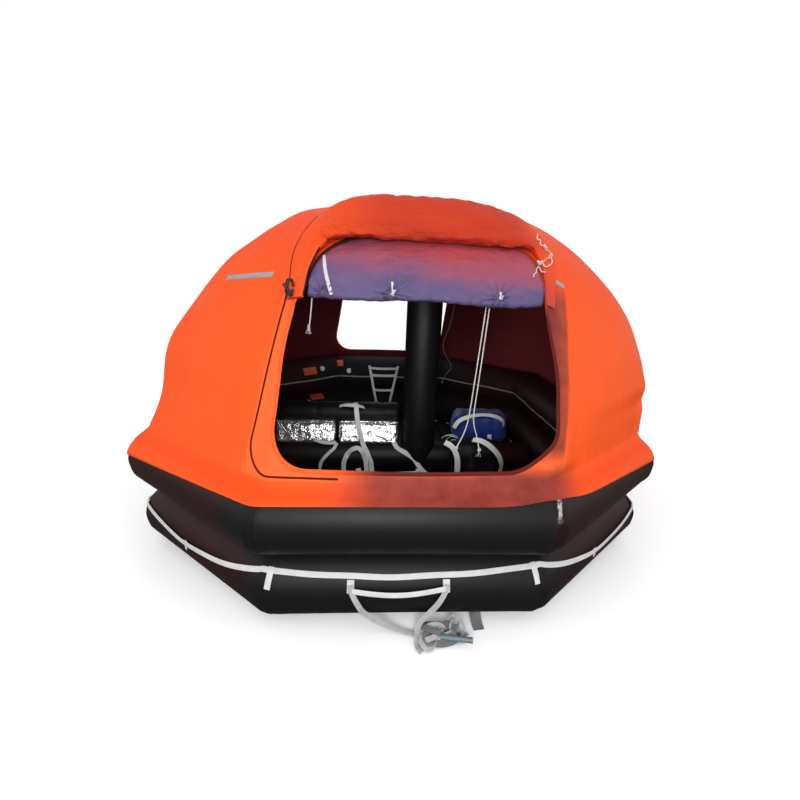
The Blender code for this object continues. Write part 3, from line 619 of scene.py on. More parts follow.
across = np.linspace(-THWART_REACH, THWART_REACH, 150)
thwart_path = np.stack((across, 0 * across, 0 * across + THWART_HEIGHT), axis=1)
thwart_radii = dome(across, -THWART_REACH, THWART_REACH, THWART_RADIUS - 0.0015, 0.07)
inflated("thwart_skin", thwart_path, thwart_radii, "thwart_tube", (0, 0, 1), (0.55, 1.9))
rise = np.linspace(THWART_HEIGHT, COLUMN_TOP, 110)
column_path = np.stack((0 * rise + COLUMN_X, 0 * rise, rise), axis=1)
column_radii = dome(rise, THWART_HEIGHT - 0.2, COLUMN_TOP, COLUMN_RADIUS - 0.0012, 0.06)
column_radii += 0.004 * np.exp(-(((rise - THWART_HEIGHT - 0.12) / 0.05) ** 2))
inflated("column_skin", column_path, column_radii, "centre_column", (0, 1, 0), (0.13, 1.3))

# The canopy's levels: height, half its size in X and Y, and how round it is at the doors, on the left and on
# the right
CANOPY_LEVELS = np.array((
    (0.73, 1.41, 1.43, 0.2, 0.0, 0.0),
    (0.85, 1.43, 1.385, 0.27, 0.11, 0.19),
    (0.97, 1.446, 1.335, 0.34, 0.2, 0.36),
    (1.1, 1.444, 1.285, 0.41, 0.22, 0.41),
    (1.22, 1.418, 1.235, 0.49, 0.25, 0.49),
    (1.36, 1.37, 1.175, 0.55, 0.5, 0.55),
    (1.5, 1.274, 1.11, 0.61, 0.61, 0.61),
    (1.64, 1.126, 1.03, 0.72, 0.5, 0.6),
    (1.76, 0.959, 0.95, 0.82, 0.55, 0.5),
    (1.86, 0.806, 0.86, 0.9, 0.65, 0.65),
    (1.93, 0.676, 0.74, 0.96, 0.5, 0.75),
))
arch_side = [(1.305, UPPER_TOP + 0.065)]
for height, half_x in CANOPY_LEVELS[1:, :2]:
    slope = max(0.0, (height - 1.0) / 0.95)
    arch_side.append((half_x - ARCH_MARGIN * (1 - 0.55 * slope), height - ARCH_MARGIN * slope))
arch_route = [(-x, 0, z) for x, z in arch_side] + [(x, 0, z) for x, z in reversed(arch_side)]
arch_path = smooth_line(arch_route, 0.02)
arch_path[:, 0] += CANOPY_LEAN * np.clip((arch_path[:, 2] - UPPER_TOP) / 0.2, 0, 1)
runs = np.linspace(0, 1, len(arch_path))
arch_radii = dome(runs, 0, 1, ARCH_RADIUS, 0.012)
inflated("arch_skin", arch_path, arch_radii, "roof_arch_tube", (0, 1, 0), (0.9, 2.1, 3.3), sides=28)

# Canopy
# One tent of orange coated cloth, welded from panels. It is glued to the upper tube, drawn over the arch
# and dark red inside, with an arched door cut in its front and its back. The cloth hangs in slack folds
# between its seams.
HUG_GAP = 0.005
LEAVE_ANGLE = 0.95
END_EDGE_ANGLE = 0.72
SIDE_EDGE_ANGLE = 0.27
ROOF_HEIGHT = 1.962
CLOTH = 0.003
DOOR_SILL = 0.775
DOOR_SPRING = 1.46
DOOR_TOP = 1.762
DOOR_ARCH_HALF = 0.56
ARCH_POWER = 3.5  # 2 would be an ellipse
DOOR_CORNER = 0.19
DOOR_SHIFT = 0.02
DOOR_LEAN = 0.12
DOOR_LEVEL = 0.97
DOOR_FLARE = 0.09
COLUMNS_PER_SIDE = (56, 44, 84, 44, 56, 72, 104, 72)
ROWS_PER_LEVEL = (2, 6, 6, 6, 6, 7, 8, 8, 8, 7, 6)

stretches = zip(CORNER_RUNS, COLUMNS_PER_SIDE, SIDE_LENGTHS)
canopy_runs = [start + np.arange(count) / count * length for start, count, length in stretches]
canopy_runs = np.concatenate(canopy_runs)
line, way = plan_at(canopy_runs)
edge = [END_EDGE_ANGLE if corner in (2, 3, 6, 7) else SIDE_EDGE_ANGLE for corner in (*range(8), 0)]
edge = np.interp(canopy_runs, CORNER_RUNS, edge)
edge += 0.17 * np.exp(-(((canopy_runs - CORNER_RUNS[FRONT_RIGHT]) / 0.14) ** 2))
tent = []
for share in np.linspace(0, 1, 9):
    lift = edge + (LEAVE_ANGLE - edge) * share
    reach = TUBE_RADIUS + HUG_GAP
    place = line + way * (reach * np.cos(lift))[:, None]
    tent.append(np.column_stack((place, UPPER_HEIGHT + reach * np.sin(lift))))
hugging = len(tent)
soft_line = plan_at(canopy_runs, plan_table(0.022))[0] / HALF_SIZE


def tent_row(height, half_x, half_y, door_round, left_round, right_round):
    """One level of the canopy: the eight-sided plan, rounded towards an ellipse."""
    middle = CANOPY_LEAN * min(1.0, max(0.0, (height - UPPER_TOP) / 0.2))
    rounds = np.repeat((right_round, door_round, left_round, door_round, right_round), (2, 2, 2, 2, 1))
    roundness = np.interp(canopy_runs, CORNER_RUNS, rounds)[:, None]
    place = soft_line * (1 - roundness) + unit(soft_line) * roundness
    return np.column_stack((place * (half_x, half_y) + (middle, 0), np.full(len(place), height)))


levels = [tent_row(*row) for row in CANOPY_LEVELS]
peak = np.tile((CANOPY_LEAN, 0.0, ROOF_HEIGHT), (len(canopy_runs), 1))
chain = [tent[-1], *levels]
for low, high, count in zip(chain, chain[1:], ROWS_PER_LEVEL):
    for k in range(count):
        tent.append(low + (high - low) * (k + 1) / count)
for k in range(1, 16):
    share = k / 16
    ring = levels[-1] + (peak - levels[-1]) * share
    ring[:, 2] = ROOF_HEIGHT - (ROOF_HEIGHT - levels[-1][:, 2]) * (1 - share) ** 1.4
    tent.append(ring)
tent = np.array(tent)
eased = soften(tent, 2.2, wrap=False)
free = np.clip((np.arange(len(tent)) - hugging) / 4, 0, 1)[:, None, None]
tent = tent * (1 - free) + eased * free

# The cloth's way out at each point, and its slack: long soft folds, corner pleats and a bend on the right
down = np.gradient(tent, axis=0)
along = np.roll(tent, -1, axis=1) - np.roll(tent, 1, axis=1)
outward = unit(np.cross(along, down))
loose = np.clip((np.arange(len(tent)) - hugging) / 8, 0, 1)[:, None]
away = from_corner(canopy_runs)[0]
height = tent[..., 2]
slack = 0.01 * uneven(tent * (1, 1, 0.6), 0.55, 3) + 0.0045 * uneven(tent * (1, 1, 0.3), 0.16, 4)
pleat = np.exp(-((away[None, :] - 0.03 * np.sin(6 * height)) ** 2) / 0.03**2)
slack += 0.006 * pleat * np.clip((1.35 - height) / 0.4, 0, 1)
on_right = np.clip(tent[..., 0] / 0.9 - 0.55, 0, 1) * np.clip(1.4 - np.abs(tent[..., 1]), 0, 1)
bend = np.exp(-(((height - 1.035 - 0.04 * tent[..., 1]) / 0.04) ** 2))
bend -= 1.3 * np.exp(-(((height - 0.955 - 0.04 * tent[..., 1]) / 0.035) ** 2))
slack += 0.012 * bend * on_right
tent = tent + outward * (slack * loose)[..., None]
rows, columns = tent.shape[:2]
tent_points = np.concatenate((tent.reshape(-1, 3), [(CANOPY_LEAN, 0, ROOF_HEIGHT)]))
tent_faces = grid_faces(rows, columns, False, True)
last_row = (rows - 1) * columns
tent_faces += [(last_row + j, last_row + (j + 1) % columns, rows * columns) for j in range(columns)]


def door_middle(z):
    """The door leans to the right with the canopy."""
    return DOOR_SHIFT + DOOR_LEAN * (z - DOOR_LEVEL)


def door_half(z):
    """Half the door's width, which grows towards the sill."""
    return DOOR_ARCH_HALF + DOOR_FLARE * max(0.0, DOOR_SPRING - z)


def eased_step(value, low, high):
    """0 below low, 1 above high, and a smooth step between."""
    share = min(1.0, max(0.0, (value - low) / (high - low)))
    return share * share * (3 - 2 * share)


# How far each side of a door bows from its plain outline, between the heights where the bow starts, is full,
# eases and stops. Keys: whether it is the right side, and the front (-1) or the back (1).
DOOR_BOWS = {
    (True, -1): (0.045, DOOR_SILL, 0.915, 1.12, 1.46),
    (False, -1): (-0.042, 0.88, 1.32, 1.47, 1.5),
    (True, 1): (-0.085, DOOR_SILL, 0.915, 1.44, 1.47),
    (False, 1): (0.0, 0.0, 1.0, 2.0, 3.0),
}


def door_bow(x, z, end):
    """How far the door's edge lies to the right of its plain outline, where the cloth is slack."""
    reach, start, full, ease, stop = DOOR_BOWS[x > door_middle(z), end]
    return reach * eased_step(z, start, full) * (1 - eased_step(z, ease, stop))


def arch_point(turn, grow=0.0):
    """A point of the door's flattened arch, from its right foot at 0 to its left foot at pi."""
    power = 2 / ARCH_POWER
    flat = abs(cos(turn)) ** power
    x = (DOOR_ARCH_HALF + grow) * (flat if cos(turn) > 0 else -flat)
    z = DOOR_SPRING + (DOOR_TOP + grow - DOOR_SPRING) * max(0.0, sin(turn)) ** power
    return x + door_middle(z), z


def sill_line(grow, drop, corner, top=DOOR_SPRING, upright=10):
    """The door's left side, sill and right side in X and Z, moved out by grow and down by drop."""
    low = DOOR_SILL - drop
    left = []
    for k in range(upright):
        z = top + (low + corner - top) * k / upright
        left.append((door_half(z) + grow, z))
    for k in range(9):
        turn = pi / 2 * k / 8
        z = low + corner * (1 - sin(turn))
        left.append((door_half(z) + grow - corner * (1 - cos(turn)), z))
    bottom = [(left[-1][0] * share, left[-1][1]) for share in (0.75, 0.5, 0.25, 0.0)]
    half = left + bottom
    points = [(door_middle(z) - x, z) for x, z in half]
    return points + [(door_middle(z) + x, z) for x, z in reversed(half[:-1])]


def cut_door(shape, end):
    """Cuts a door through the canopy's front (-1) or back (1) with a prism of the door's outline."""
    arch = [arch_point(pi * k / 60) for k in range(61)]
    outline = [(x + door_bow(x, z, end), z) for x, z in sill_line(0, 0, DOOR_CORNER)[1:-1] + arch]
    prism = bmesh.new()
    rings = [[prism.verts.new((x, end * y, z)) for x, z in outline] for y in (0.55, 2.0)]
    for i in range(len(outline)):
        j = (i + 1) % len(outline)
        prism.faces.new((rings[0][i], rings[0][j], rings[1][j], rings[1][i]))
    prism.faces.new(rings[0])
    prism.faces.new(rings[1])
    bmesh.ops.recalc_face_normals(prism, faces=prism.faces)
    mesh = bpy.data.meshes.new("door_cutter")
    prism.to_mesh(mesh)
    prism.free()
    cutter = bpy.data.objects.new("door_cutter", mesh)
    bpy.context.scene.collection.objects.link(cutter)
    step = shape.modifiers.new("door", "BOOLEAN")
    step.operation = "DIFFERENCE"
    step.object = cutter
    made = bpy.data.meshes.new_from_object(shape.evaluated_get(bpy.context.evaluated_depsgraph_get()))
    shape.modifiers.clear()
    shape.data = made
    bpy.data.objects.remove(cutter, do_unlink=True)


def canopy_paint(place):
    """Orange coated cloth, lighter round the doors, with slack creases, painted shade down the front door's
    right side and along its sill, and painted shade on faces that look up.
    """
    x, y, z = (place.part(axis) for axis in "XYZ")
    from_middle = abs(x - (z - DOOR_LEVEL) * DOOR_LEAN - DOOR_SHIFT)
    beyond = from_middle - (DOOR_SPRING - z).maths("MAXIMUM", 0.0) * DOOR_FLARE - DOOR_ARCH_HALF
    margin = (1 - beyond.smooth(0.1, 0.108)) * (1 - z.smooth(1.5, 1.56)) * z.smooth(0.73, 0.738)
    cloudy = place.noise(2.2, 4.0, 0.6)
    tone = cloudy.blend((0.88, 0.092, 0.014), (0.98, 0.12, 0.022))
    tone = (margin * 0.75).blend(tone, (1.0, 0.155, 0.042))
    # Painted shade: a dark red band down the front door's right side, ending at a seam, and along the right
    # part of its sill, broken up by streaky noise.
    speck = place.stretch(1.0, 1.0, 0.45).noise(9.0, 4.0, 0.65)
    to_seam = x - (z - 0.95) * 0.085 + speck * 0.012 - 0.722
    right = (1 - to_seam.smooth(-0.01, 0.016)) * (0.97 - to_seam.smooth(-0.09, 0.0) * 0.22)
    right = right * x.smooth(0.3, 0.42) * (1 - z.smooth(1.46, 1.62)) * z.smooth(0.78, 0.88)
    shade_streaks = place.stretch(0.35, 1.0, 1.5).noise(8.0, 3.0, 0.5)
    low = (1 - (z + shade_streaks * 0.06).smooth(0.78, 0.85)) * x.smooth(-0.46, -0.06) * (1 - x.smooth(0.62, 0.84))
    door_shade = (right + low * (shade_streaks * 0.2 + 0.84)).maths("MINIMUM", 1.0) * (1 - y.smooth(-0.9, -0.7))
    # Painted shade: faces that look up are darker and redder.
    upward = place.upward(0.25, 1.0)
    tone = (upward * 0.8).blend(tone, (0.72, 0.048, 0.004))
    door_shade_tone = (speck * 0.5 + shade_streaks * 0.5).smooth(0.3, 0.7).blend((0.105, 0.02, 0.018), (0.27, 0.046, 0.036))
    tone = door_shade.blend(tone, door_shade_tone)
    crease = place.stretch(1.0, 1.0, 0.3).noise(6.0, 3.0, 0.55) * 0.016
    pucker = place.noise(38.0, 3.0, 0.6) * 0.0007
    return {"Base Color": tone, "Roughness": cloudy * 0.14 + 0.42, "Bump": crease + pucker}


def lining_paint(place):
    """The canopy's dark red inner side, with a painted glow on the right where daylight would shine through
    the cloth.
    """
    cloudy = place.noise(3.0, 4.0, 0.6)
    return {
        "Base Color": cloudy.blend((0.07, 0.0085, 0.012), (0.13, 0.016, 0.022)),
        "Roughness": cloudy * 0.2 + 0.6,
        "Emission Color": place.part("X").smooth(0.75, 1.42).blend((0, 0, 0), (0.022, 0.003, 0.003)),
        "Bump": place.stretch(1.0, 1.0, 0.4).noise(6.0, 3.0) * 0.01,
    }


canopy_cloth = finish("canopy_cloth", canopy_paint, Specular_IOR_Level=0.06)
lining = finish("canopy_lining", lining_paint, Specular_IOR_Level=0.1, Emission_Strength=1.0)
panels = [f"canopy_{label}" for label in ("front", "back", "left_side", "right_side", "roof")]
canopy = build("canopy_tent", tent_points, tent_faces, canopy_cloth, panels, "canopy_cloth", outward=False)
canopy.data.materials.append(lining)
wall = canopy.modifiers.new("cloth", "SOLIDIFY")
wall.thickness = CLOTH
wall.offset = -1
wall.material_offset = 1
cut_door(canopy, -1)
cut_door(canopy, 1)

# Door edges
# The cloth is turned under and stitched round each opening. Outside that, a dark red coil zip for the door
# flap runs down the left side and along the first part of the sill.
BEYOND = 3.0  # a distance that is outside the raft
tent_tree = BVHTree.FromPolygons(tent_points.tolist(), tent_faces)


def meet(tree, x, z, end=-1):
    """Where a line from beyond one end of the raft meets a surface over x and z, and the way out there."""
    hit, normal = tree.ray_cast(Vector((x, end * BEYOND, z)), Vector((0, -end, 0)))[:2]
    if hit and normal.y * end < 0:
        normal = -normal
    return hit, normal


def on_canopy(x, z, proud=0.0, end=-1):
    """The point of the canopy's front (-1) or back (1) over x and z, and its way out."""
    hit, out = meet(tent_tree, x, z, end)
    return np.array(hit + out * proud), np.array(out)


def split(pairs):
    """Places and ways out, from a list of pairs of them."""
    return tuple(np.array(part) for part in zip(*pairs))


def on_cloth(outline, step=0.012, proud=0.0, end=-1):
    """A smooth line on the canopy through an outline of X and Z, and the way out along it."""
    fine = smooth_line([(x, 0, z) for x, z in outline], step)
    return split([on_canopy(x, z, proud, end) for x, _, z in fine])


hem_outline = [arch_point(pi * k / 40) for k in range(20, 41)] + sill_line(0, 0, DOOR_CORNER)[1:-1]
hem_outline += [arch_point(pi * k / 40) for k in range(0, 21)]


def hem_paint(place):
    """Turned and stitched orange cloth, with painted shade: near black down the right side and the right part
    of the sill, and dark under the rolled flap over the arch.
    """
    cloudy = place.noise(6.0, 3.0)
    x, z = place.part("X"), place.part("Z")
    # Painted shade: near black down the right side of the opening and along the right part of the sill.
    dark = (x - z * 0.12).smooth(0.25, 0.45)
    dark = (dark + (1 - z.smooth(0.78, 0.83)) * x.smooth(-0.4, -0.1)).maths("MINIMUM", 1.0)
    dark = dark * (1 - z.smooth(1.4, 1.6))
    tone = cloudy.blend((0.84, 0.085, 0.014), (0.98, 0.12, 0.024))
    tone = (dark * 0.95).blend(tone, (0.06, 0.006, 0.006))
    # Painted shade under the rolled flap, over the arch: near black on the left, dark red on the right.
    over = z.smooth(1.47, 1.5) * 0.96
    tone = over.blend(tone, x.smooth(-0.2, 0.05).blend((0.012, 0.004, 0.004), (0.3, 0.025, 0.02)))
    return {"Base Color": tone, "Bump": place.noise(150.0) * 0.0004}


hem_cloth = finish("hem_cloth", hem_paint, Roughness=0.6, Specular_IOR_Level=0.1)
for label, end in (("front", -1), ("back", 1)):
    hem_path, hem_out = on_cloth([(x + door_bow(x, z, end), z) for x, z in hem_outline], end=end)
    hem = Heap()
    hem.carry(hem_path, circle(12, 0.009, 0.34), hem_out)
    hem.build(f"{label}_door_hem", hem_cloth, slot="canopy_cloth")

ZIP_PITCH = 0.004


def zip_paint(dark, light):
    """Nylon coil: teeth along its length."""

    def paint(place):
        teeth = (place.lay().part("X") * (2 * pi / ZIP_PITCH)).maths("SINE")
        return {"Base Color": place.noise(60.0).blend(dark, light), "Bump": teeth * 0.0004}

    return paint


zip_look = {"Roughness": 0.6, "Specular_IOR_Level": 0.15}
zip_red = finish("zip_red", zip_paint((0.05, 0.0035, 0.002), (0.11, 0.008, 0.004)), **zip_look)
zip_black = finish("zip_black", zip_paint((0.006, 0.005, 0.005), (0.022, 0.016, 0.016)), **zip_look)
ZIP_GROW = 0.09
ZIP_DROP = 0.026
ZIP_CORNER = 0.125
zip_line = sill_line(ZIP_GROW, ZIP_DROP, ZIP_CORNER)
above_foot = [(-0.5, 1.745), (-0.529, 1.65), (-0.56, 1.56)]
left_zip = above_foot + [(x, z) for x, z in zip_line if x < -0.26]
zip_path, zip_out = on_cloth(left_zip, 0.008, 0.002)
door_zip = Heap()
door_zip.carry(zip_path, circle(10, 0.0046, 0.6), zip_out)
door_zip.build_both("front_door_zip", zip_red, slot="canopy_cloth")

# Reflective tapes
# Strips of grey reflective tape, stuck flat on the canopy beside each door.
TAPE_WIDTH = 0.03
tapes = Heap()
for ends in (((-0.945, 1.534), (-0.8, 1.549), (-0.656, 1.563)), ((0.69, 1.592), (0.772, 1.556))):
    tape_path, tape_out = on_cloth(ends, 0.02, 0.0006)
    half = TAPE_WIDTH / 2
    flat = ((0, -half), (0.0008, -half + 0.001), (0.0008, 0), (0.0008, half - 0.001), (0, half), (-0.0006, 0))
    tapes.carry(tape_path, flat, tape_out)


def tape_paint(place):
    """Grey tape of small glass cells, dull where it is scuffed."""
    cells = place.node("ShaderNodeTexVoronoi", {}, {"Vector": place, "Scale": 220.0})
    scuff = place.noise(14.0, 4.0)
    return {
        "Base Color": scuff.blend((0.17, 0.19, 0.2), (0.33, 0.36, 0.37)),
        "Roughness": scuff * 0.2 + 0.25,
        "Bump": cells * 0.0004,
    }


tape_finish = finish("reflective_tape", tape_paint, Specular_IOR_Level=0.6)
tapes.build_both("front_reflective_tapes", tape_finish, slot="foil")

# Rolled door flaps
# Each door's flap of orange cloth, unzipped, rolled up and tied over the arch. It is thin at its two feet
# and fat over the top, and it lies in long creases. A black zip runs along its inner edge.
HOOD_SQUASH = 0.24
HOOD_FOOT = 0.045
HOOD_FOOT_RIGHT = 0.024
HOOD_CROWN = 0.134
HOOD_OUT = 0.86  # how much of its half width lies outside the door's arch
HOOD_STEPS = 44
HOOD_STEP = 0.01
hood_line = []
for k in range(41):
    turn = pi * k / 40
    foot = HOOD_FOOT if turn > pi / 2 else HOOD_FOOT_RIGHT
    radius = foot + (HOOD_CROWN - foot) * sin(turn) ** 1.2
    x, z = arch_point(turn, radius * HOOD_OUT)
    upright = on_canopy(x, z)[1]
    x, z = arch_point(turn, radius * HOOD_OUT * (1 - 0.9 * upright[2] ** 2 * sin(turn)))
    place, normal = on_canopy(x, z)
    fat = HOOD_SQUASH * (1 + 0.95 * exp(-(((turn - 2.0) / 0.68) ** 2)))
    hood_line.append((*(place + normal * (radius * fat * 0.8 + 0.001)), *normal, radius, fat))
hood_line = smooth_line(hood_line, HOOD_STEP)
hood_radius = hood_line[:, 6:7]
hood_squash = hood_line[:, 7:]
hood_line[:, 3:6] = soften(hood_line[:, 3:6], 4, wrap=False)
turns = np.linspace(0, 2 * pi, HOOD_STEPS, endpoint=False)
hood_runs = np.arange(len(hood_line)) * HOOD_STEP
round_it = (np.cos(turns) * 0.1, np.sin(turns) * 0.1)
long_folds = np.stack(np.broadcast_arrays(hood_runs[:, None] / 5.0, *round_it), axis=-1)
folds = uneven(long_folds, 0.055, 6) * 0.14 + uneven(long_folds * (3, 1, 1), 0.028, 7) * 0.06
ends = np.clip(np.minimum(hood_runs, hood_runs[-1] - hood_runs) / 0.05, 0, 1)[:, None]
swell = hood_radius * (0.965 + folds * (0.45 + 0.55 * ends))
tucked = 1 - 0.35 * (1 - ends)
flat = np.sign(np.cos(turns)) * np.abs(np.cos(turns) * tucked) ** 0.8
hood_section = np.stack((flat * swell * hood_squash, np.sin(turns) * swell), axis=-1)
hood = Heap()
hood.carry(hood_line[:, :3], hood_section, hood_line[:, 3:6])


def flap_paint(place):
    """The same orange cloth, redder and darker in streaks over the arch, with painted shade on its right foot
    and on faces that look down.
    """
    x, z = place.part("X"), place.part("Z")
    cloudy = place.noise(3.5, 4.0, 0.6)
    tone = cloudy.blend((0.76, 0.066, 0.014), (0.92, 0.096, 0.02))
    streak = place.stretch(0.3, 1.6, 1.6).noise(11.0, 4.0, 0.6)
    over = (x + 0.52).smooth(0.0, 0.45) * (1 - x.smooth(0.45, 0.8)) * (streak * 0.7 + 0.45)
    tone = over.maths("MINIMUM", 1.0).blend(tone, streak.blend((0.27, 0.022, 0.014), (0.56, 0.04, 0.018)))
    # Painted shade: the right foot is darkened to a dull purple-red.
    foot = x.smooth(0.5, 0.58) * (1 - z.smooth(1.52, 1.66)) * (1 - x.smooth(0.655, 0.7) * 0.8)
    tone = (foot * 0.6).blend(tone, (0.34, 0.055, 0.06))
    # Painted shade: faces that look down are darker red.
    under = place.upward(-0.15, -0.75)
    tone = (under * 0.65).blend(tone, (0.42, 0.026, 0.022))
    crease = place.stretch(0.3, 1.0, 1.0).noise(17.0, 3.0, 0.6) * 0.026
    return {"Base Color": tone, "Roughness": cloudy * 0.15 + 0.45, "Bump": crease}


flap_cloth = finish("flap_cloth", flap_paint, Specular_IOR_Level=0.06)
for flap in hood.build_both("front_rolled_flap", flap_cloth, ("front_door_flap_roll",), "canopy_cloth"):
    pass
hood_tree = BVHTree.FromPolygons(np.concatenate(hood.points).tolist(), hood.faces)


def on_front(x, z, proud=0.0):
    """The point on the canopy or on the rolled flap over it, whichever is in front, and its way out."""
    place, normal = on_canopy(x, z, proud)
    hit, out = meet(hood_tree, x, z)
    if hit and hit.y < place[1]:
        return np.array(hit + out * proud), np.array(out)
    return place, normal


def over_front(points, proud, step=0.01):
    """A smooth line of X and Z laid over the front."""
    fine = smooth_line([(x, 0.0, z) for x, z in points], step)
    path, out = split([on_front(x, z, proud) for x, _, z in fine])
    return soften(path, 1.5, wrap=False), out


hood_rings = hood.points[0].reshape(len(hood_line), HOOD_STEPS, 3)
inner_edge = Heap()
for column, reach, radius in ((34, -0.42, 0.0042), (8, -0.43, 0.0026)):
    edge_line = hood_rings[hood_rings[:, column, 0] < reach][:, column]
    inner_edge.carry(soften(edge_line, 1.5, wrap=False), circle(8, radius), hood_line[-len(edge_line):, 3:6])
inner_edge.build_both("front_flap_zip", zip_black, slot="bag_black")

# Curtains
# A curtain of thin blue and purple coated cloth inside each door, gathered up to the top of the arch. Its
# foot is rolled and held by three white tapes, two of them knotted.
CURTAIN_FOOT = 1.482
CURTAIN_ROLL = 0.019
CURTAIN_CLOTH = 0.0012
TIES = ((-0.385, 1.49), (-0.08, 1.5), (0.415, 1.495))
curtain_rows = []
for a in np.linspace(-1, 1, 150):
    offset = (DOOR_ARCH_HALF - 0.01) * a
    arch = (1 - min(1, abs(offset) / DOOR_ARCH_HALF) ** ARCH_POWER) ** (1 / ARCH_POWER)
    lid = max(DOOR_SPRING + (DOOR_TOP - DOOR_SPRING) * arch - 0.004, CURTAIN_FOOT + 0.03)
    x = offset + door_middle(1.6)
    foot = CURTAIN_FOOT + 0.006 * cos(9 * offset) - 0.006 * sin(4 * offset)
    row = []
    for w in np.linspace(0, 1, 46):
        z = lid + (foot - lid) * w
        y = on_canopy(x, z)[0][1]
        belly = 0.016 * sin(pi * w**0.8)
        fold = 0.0075 * noise.noise(Vector((x * 2.6, z * 15, 1.7))) * min(1, w * 5)
        for tie_x, tie_z in TIES:
            apart = hypot(x - tie_x, z - tie_z)
            angle = atan2(z - tie_z, x - tie_x)
            fold += 0.0085 * exp(-apart / 0.085) * cos(11 * angle + 8 * tie_x) * min(1, apart / 0.02)
            fold -= 0.01 * exp(-((apart / 0.022) ** 2))
        row.append((offset + door_middle(z), y + 0.012 - belly - fold, z))
    last = Vector(row[-1])
    for k in range(1, 15):
        turn = 2 * pi * 1.15 * k / 14
        radius = CURTAIN_ROLL * (1 - 0.35 * k / 14)
        row.append((last.x, last.y + CURTAIN_ROLL - radius * cos(turn), last.z - radius * sin(turn)))
    curtain_rows.append(row)
curtain_grid = np.array(curtain_rows)
rolled = curtain_grid[:, 40:]
rolled += 0.0035 * uneven(rolled * (1, 0.3, 0.3), 0.035, 9)[..., None] * (0, 1, 1)


def curtain_paint(place):
    """Thin coated cloth, blue at its foot and purple to red towards its top and its middle."""
    x, z = place.part("X"), place.part("Z")
    patch = place.stretch(0.6, 1.0, 1.4).noise(5.0, 4.0, 0.6)
    aside = x.smooth(-0.4, 0.25)
    red = (z + patch * 0.22 + aside * 0.055 - 0.12).smooth(1.53, 1.73) * (aside * 0.34 + 0.58)
    tone = patch.blend((0.07, 0.058, 0.165), (0.155, 0.108, 0.21))
    tone = red.blend(tone, patch.blend((0.34, 0.048, 0.062), (0.54, 0.064, 0.056)))
    crease = place.stretch(0.5, 1.0, 1.0).noise(15.0, 3.0, 0.6) * 0.02
    return {"Base Color": tone, "Roughness": patch * 0.2 + 0.38, "Bump": crease}


curtain_cloth = finish("curtain_cloth", curtain_paint, Specular_IOR_Level=0.2)
curtain_faces = grid_faces(*curtain_grid.shape[:2])
curtain = build(
    "front_gathered_curtain",
    curtain_grid,
    curtain_faces,
    curtain_cloth,
    ("front_curtain",),
    "curtain_cloth",
    outward=False,
)
for cloth in (curtain, other_end(curtain, ("front_curtain",))):
    wall = cloth.modifiers.new("cloth", "SOLIDIFY")
    wall.thickness = CURTAIN_CLOTH
    wall.offset = 0

# Ties on the flap and the curtain
# White tape and thin cord: the three tapes that hold up the curtain, a lacing that ties the flap on the
# right, and a black elastic loop with its toggle on the left.
TIE_WIDTH = 0.016
THIN_TIE = 0.011
TIE_THICK = 0.0016


def web_section(width, thick):
    """Flat webbing with round edges: the first coordinate is its thickness and the second its width."""
    across = np.linspace(-1, 1, 9)
    bulge = np.sqrt(1 - np.abs(across) ** 6)
    upper = np.stack((thick * (0.5 + 0.5 * bulge), across * width / 2), axis=1)
    lower = np.stack((thick * (0.5 - 0.5 * bulge[1:-1]), across[1:-1] * width / 2), axis=1)[::-1]
    return np.concatenate((upper, lower))


def webbing_paint(dark, light, pitch=0.0028):
    """Woven webbing: ribs along it, a herringbone across it, and grime."""

    def paint(place):
        lay = place.lay()
        across, run = lay.part("Y"), lay.part("X")
        ribs = (across * (2 * pi / pitch)).maths("SINE")
        weft = ((run + abs(across) * 0.8) * (2 * pi / (pitch * 0.9))).maths("SINE")
        grime = place.noise(17.0, 4.0, 0.65)
        return {
            "Base Color": (grime * 0.8 + ribs * 0.1 + 0.05).blend(dark, light),
            "Bump": ribs * 0.00022 + weft * 0.0002,
        }

    return paint


white_tones = ((0.48, 0.48, 0.49), (0.9, 0.9, 0.91))
web_white = finish("webbing", webbing_paint(*white_tones), Roughness=0.75, Sheen_Weight=0.1)
# Darker copies of the white webbing, as painted shade: one for the grab line inside the canopy, one for the
# boarding ladder and its bundle.
web_inside_shade = finish("webbing_worn", webbing_paint((0.14, 0.14, 0.145), (0.36, 0.36, 0.37)), Roughness=0.8)
web_low_shade = finish("webbing_dull", webbing_paint((0.26, 0.26, 0.265), (0.62, 0.62, 0.63)), Roughness=0.8)
# The grey webbing is the loose tab's own colour, and it also stands as painted shade for the dark folds in
# the ladder's bundle.
web_grey_and_shade = finish("webbing_grey", webbing_paint((0.1, 0.105, 0.11), (0.22, 0.23, 0.24)), Roughness=0.75)


def cord_paint(dark, light):
    """Braided cord."""

    def paint(place):
        strands = place.stretch(1, 1, 0.6).noise(420.0, 1.0)
        return {"Base Color": place.noise(30.0, 3.0).blend(dark, light), "Bump": strands * 0.0006}

    return paint


cord_white = finish("cord_white", cord_paint((0.42, 0.41, 0.39), (0.82, 0.81, 0.78)), Roughness=0.8)
cord_black = finish("cord_black", cord_paint((0.006, 0.006, 0.006), (0.02, 0.019, 0.018)), Roughness=0.7)

curtain_tree = BVHTree.FromPolygons(curtain_grid.reshape(-1, 3).tolist(), curtain_faces)


def on_curtain(x, z, proud):
    """The point of the curtain over x and z, or of the canopy where the curtain ends."""
    hit = meet(curtain_tree, x, z)[0]
    if not hit:
        return on_canopy(x, z)[0] + (0, 0.01 - proud, 0)
    return np.array(hit) - (0, proud, 0)


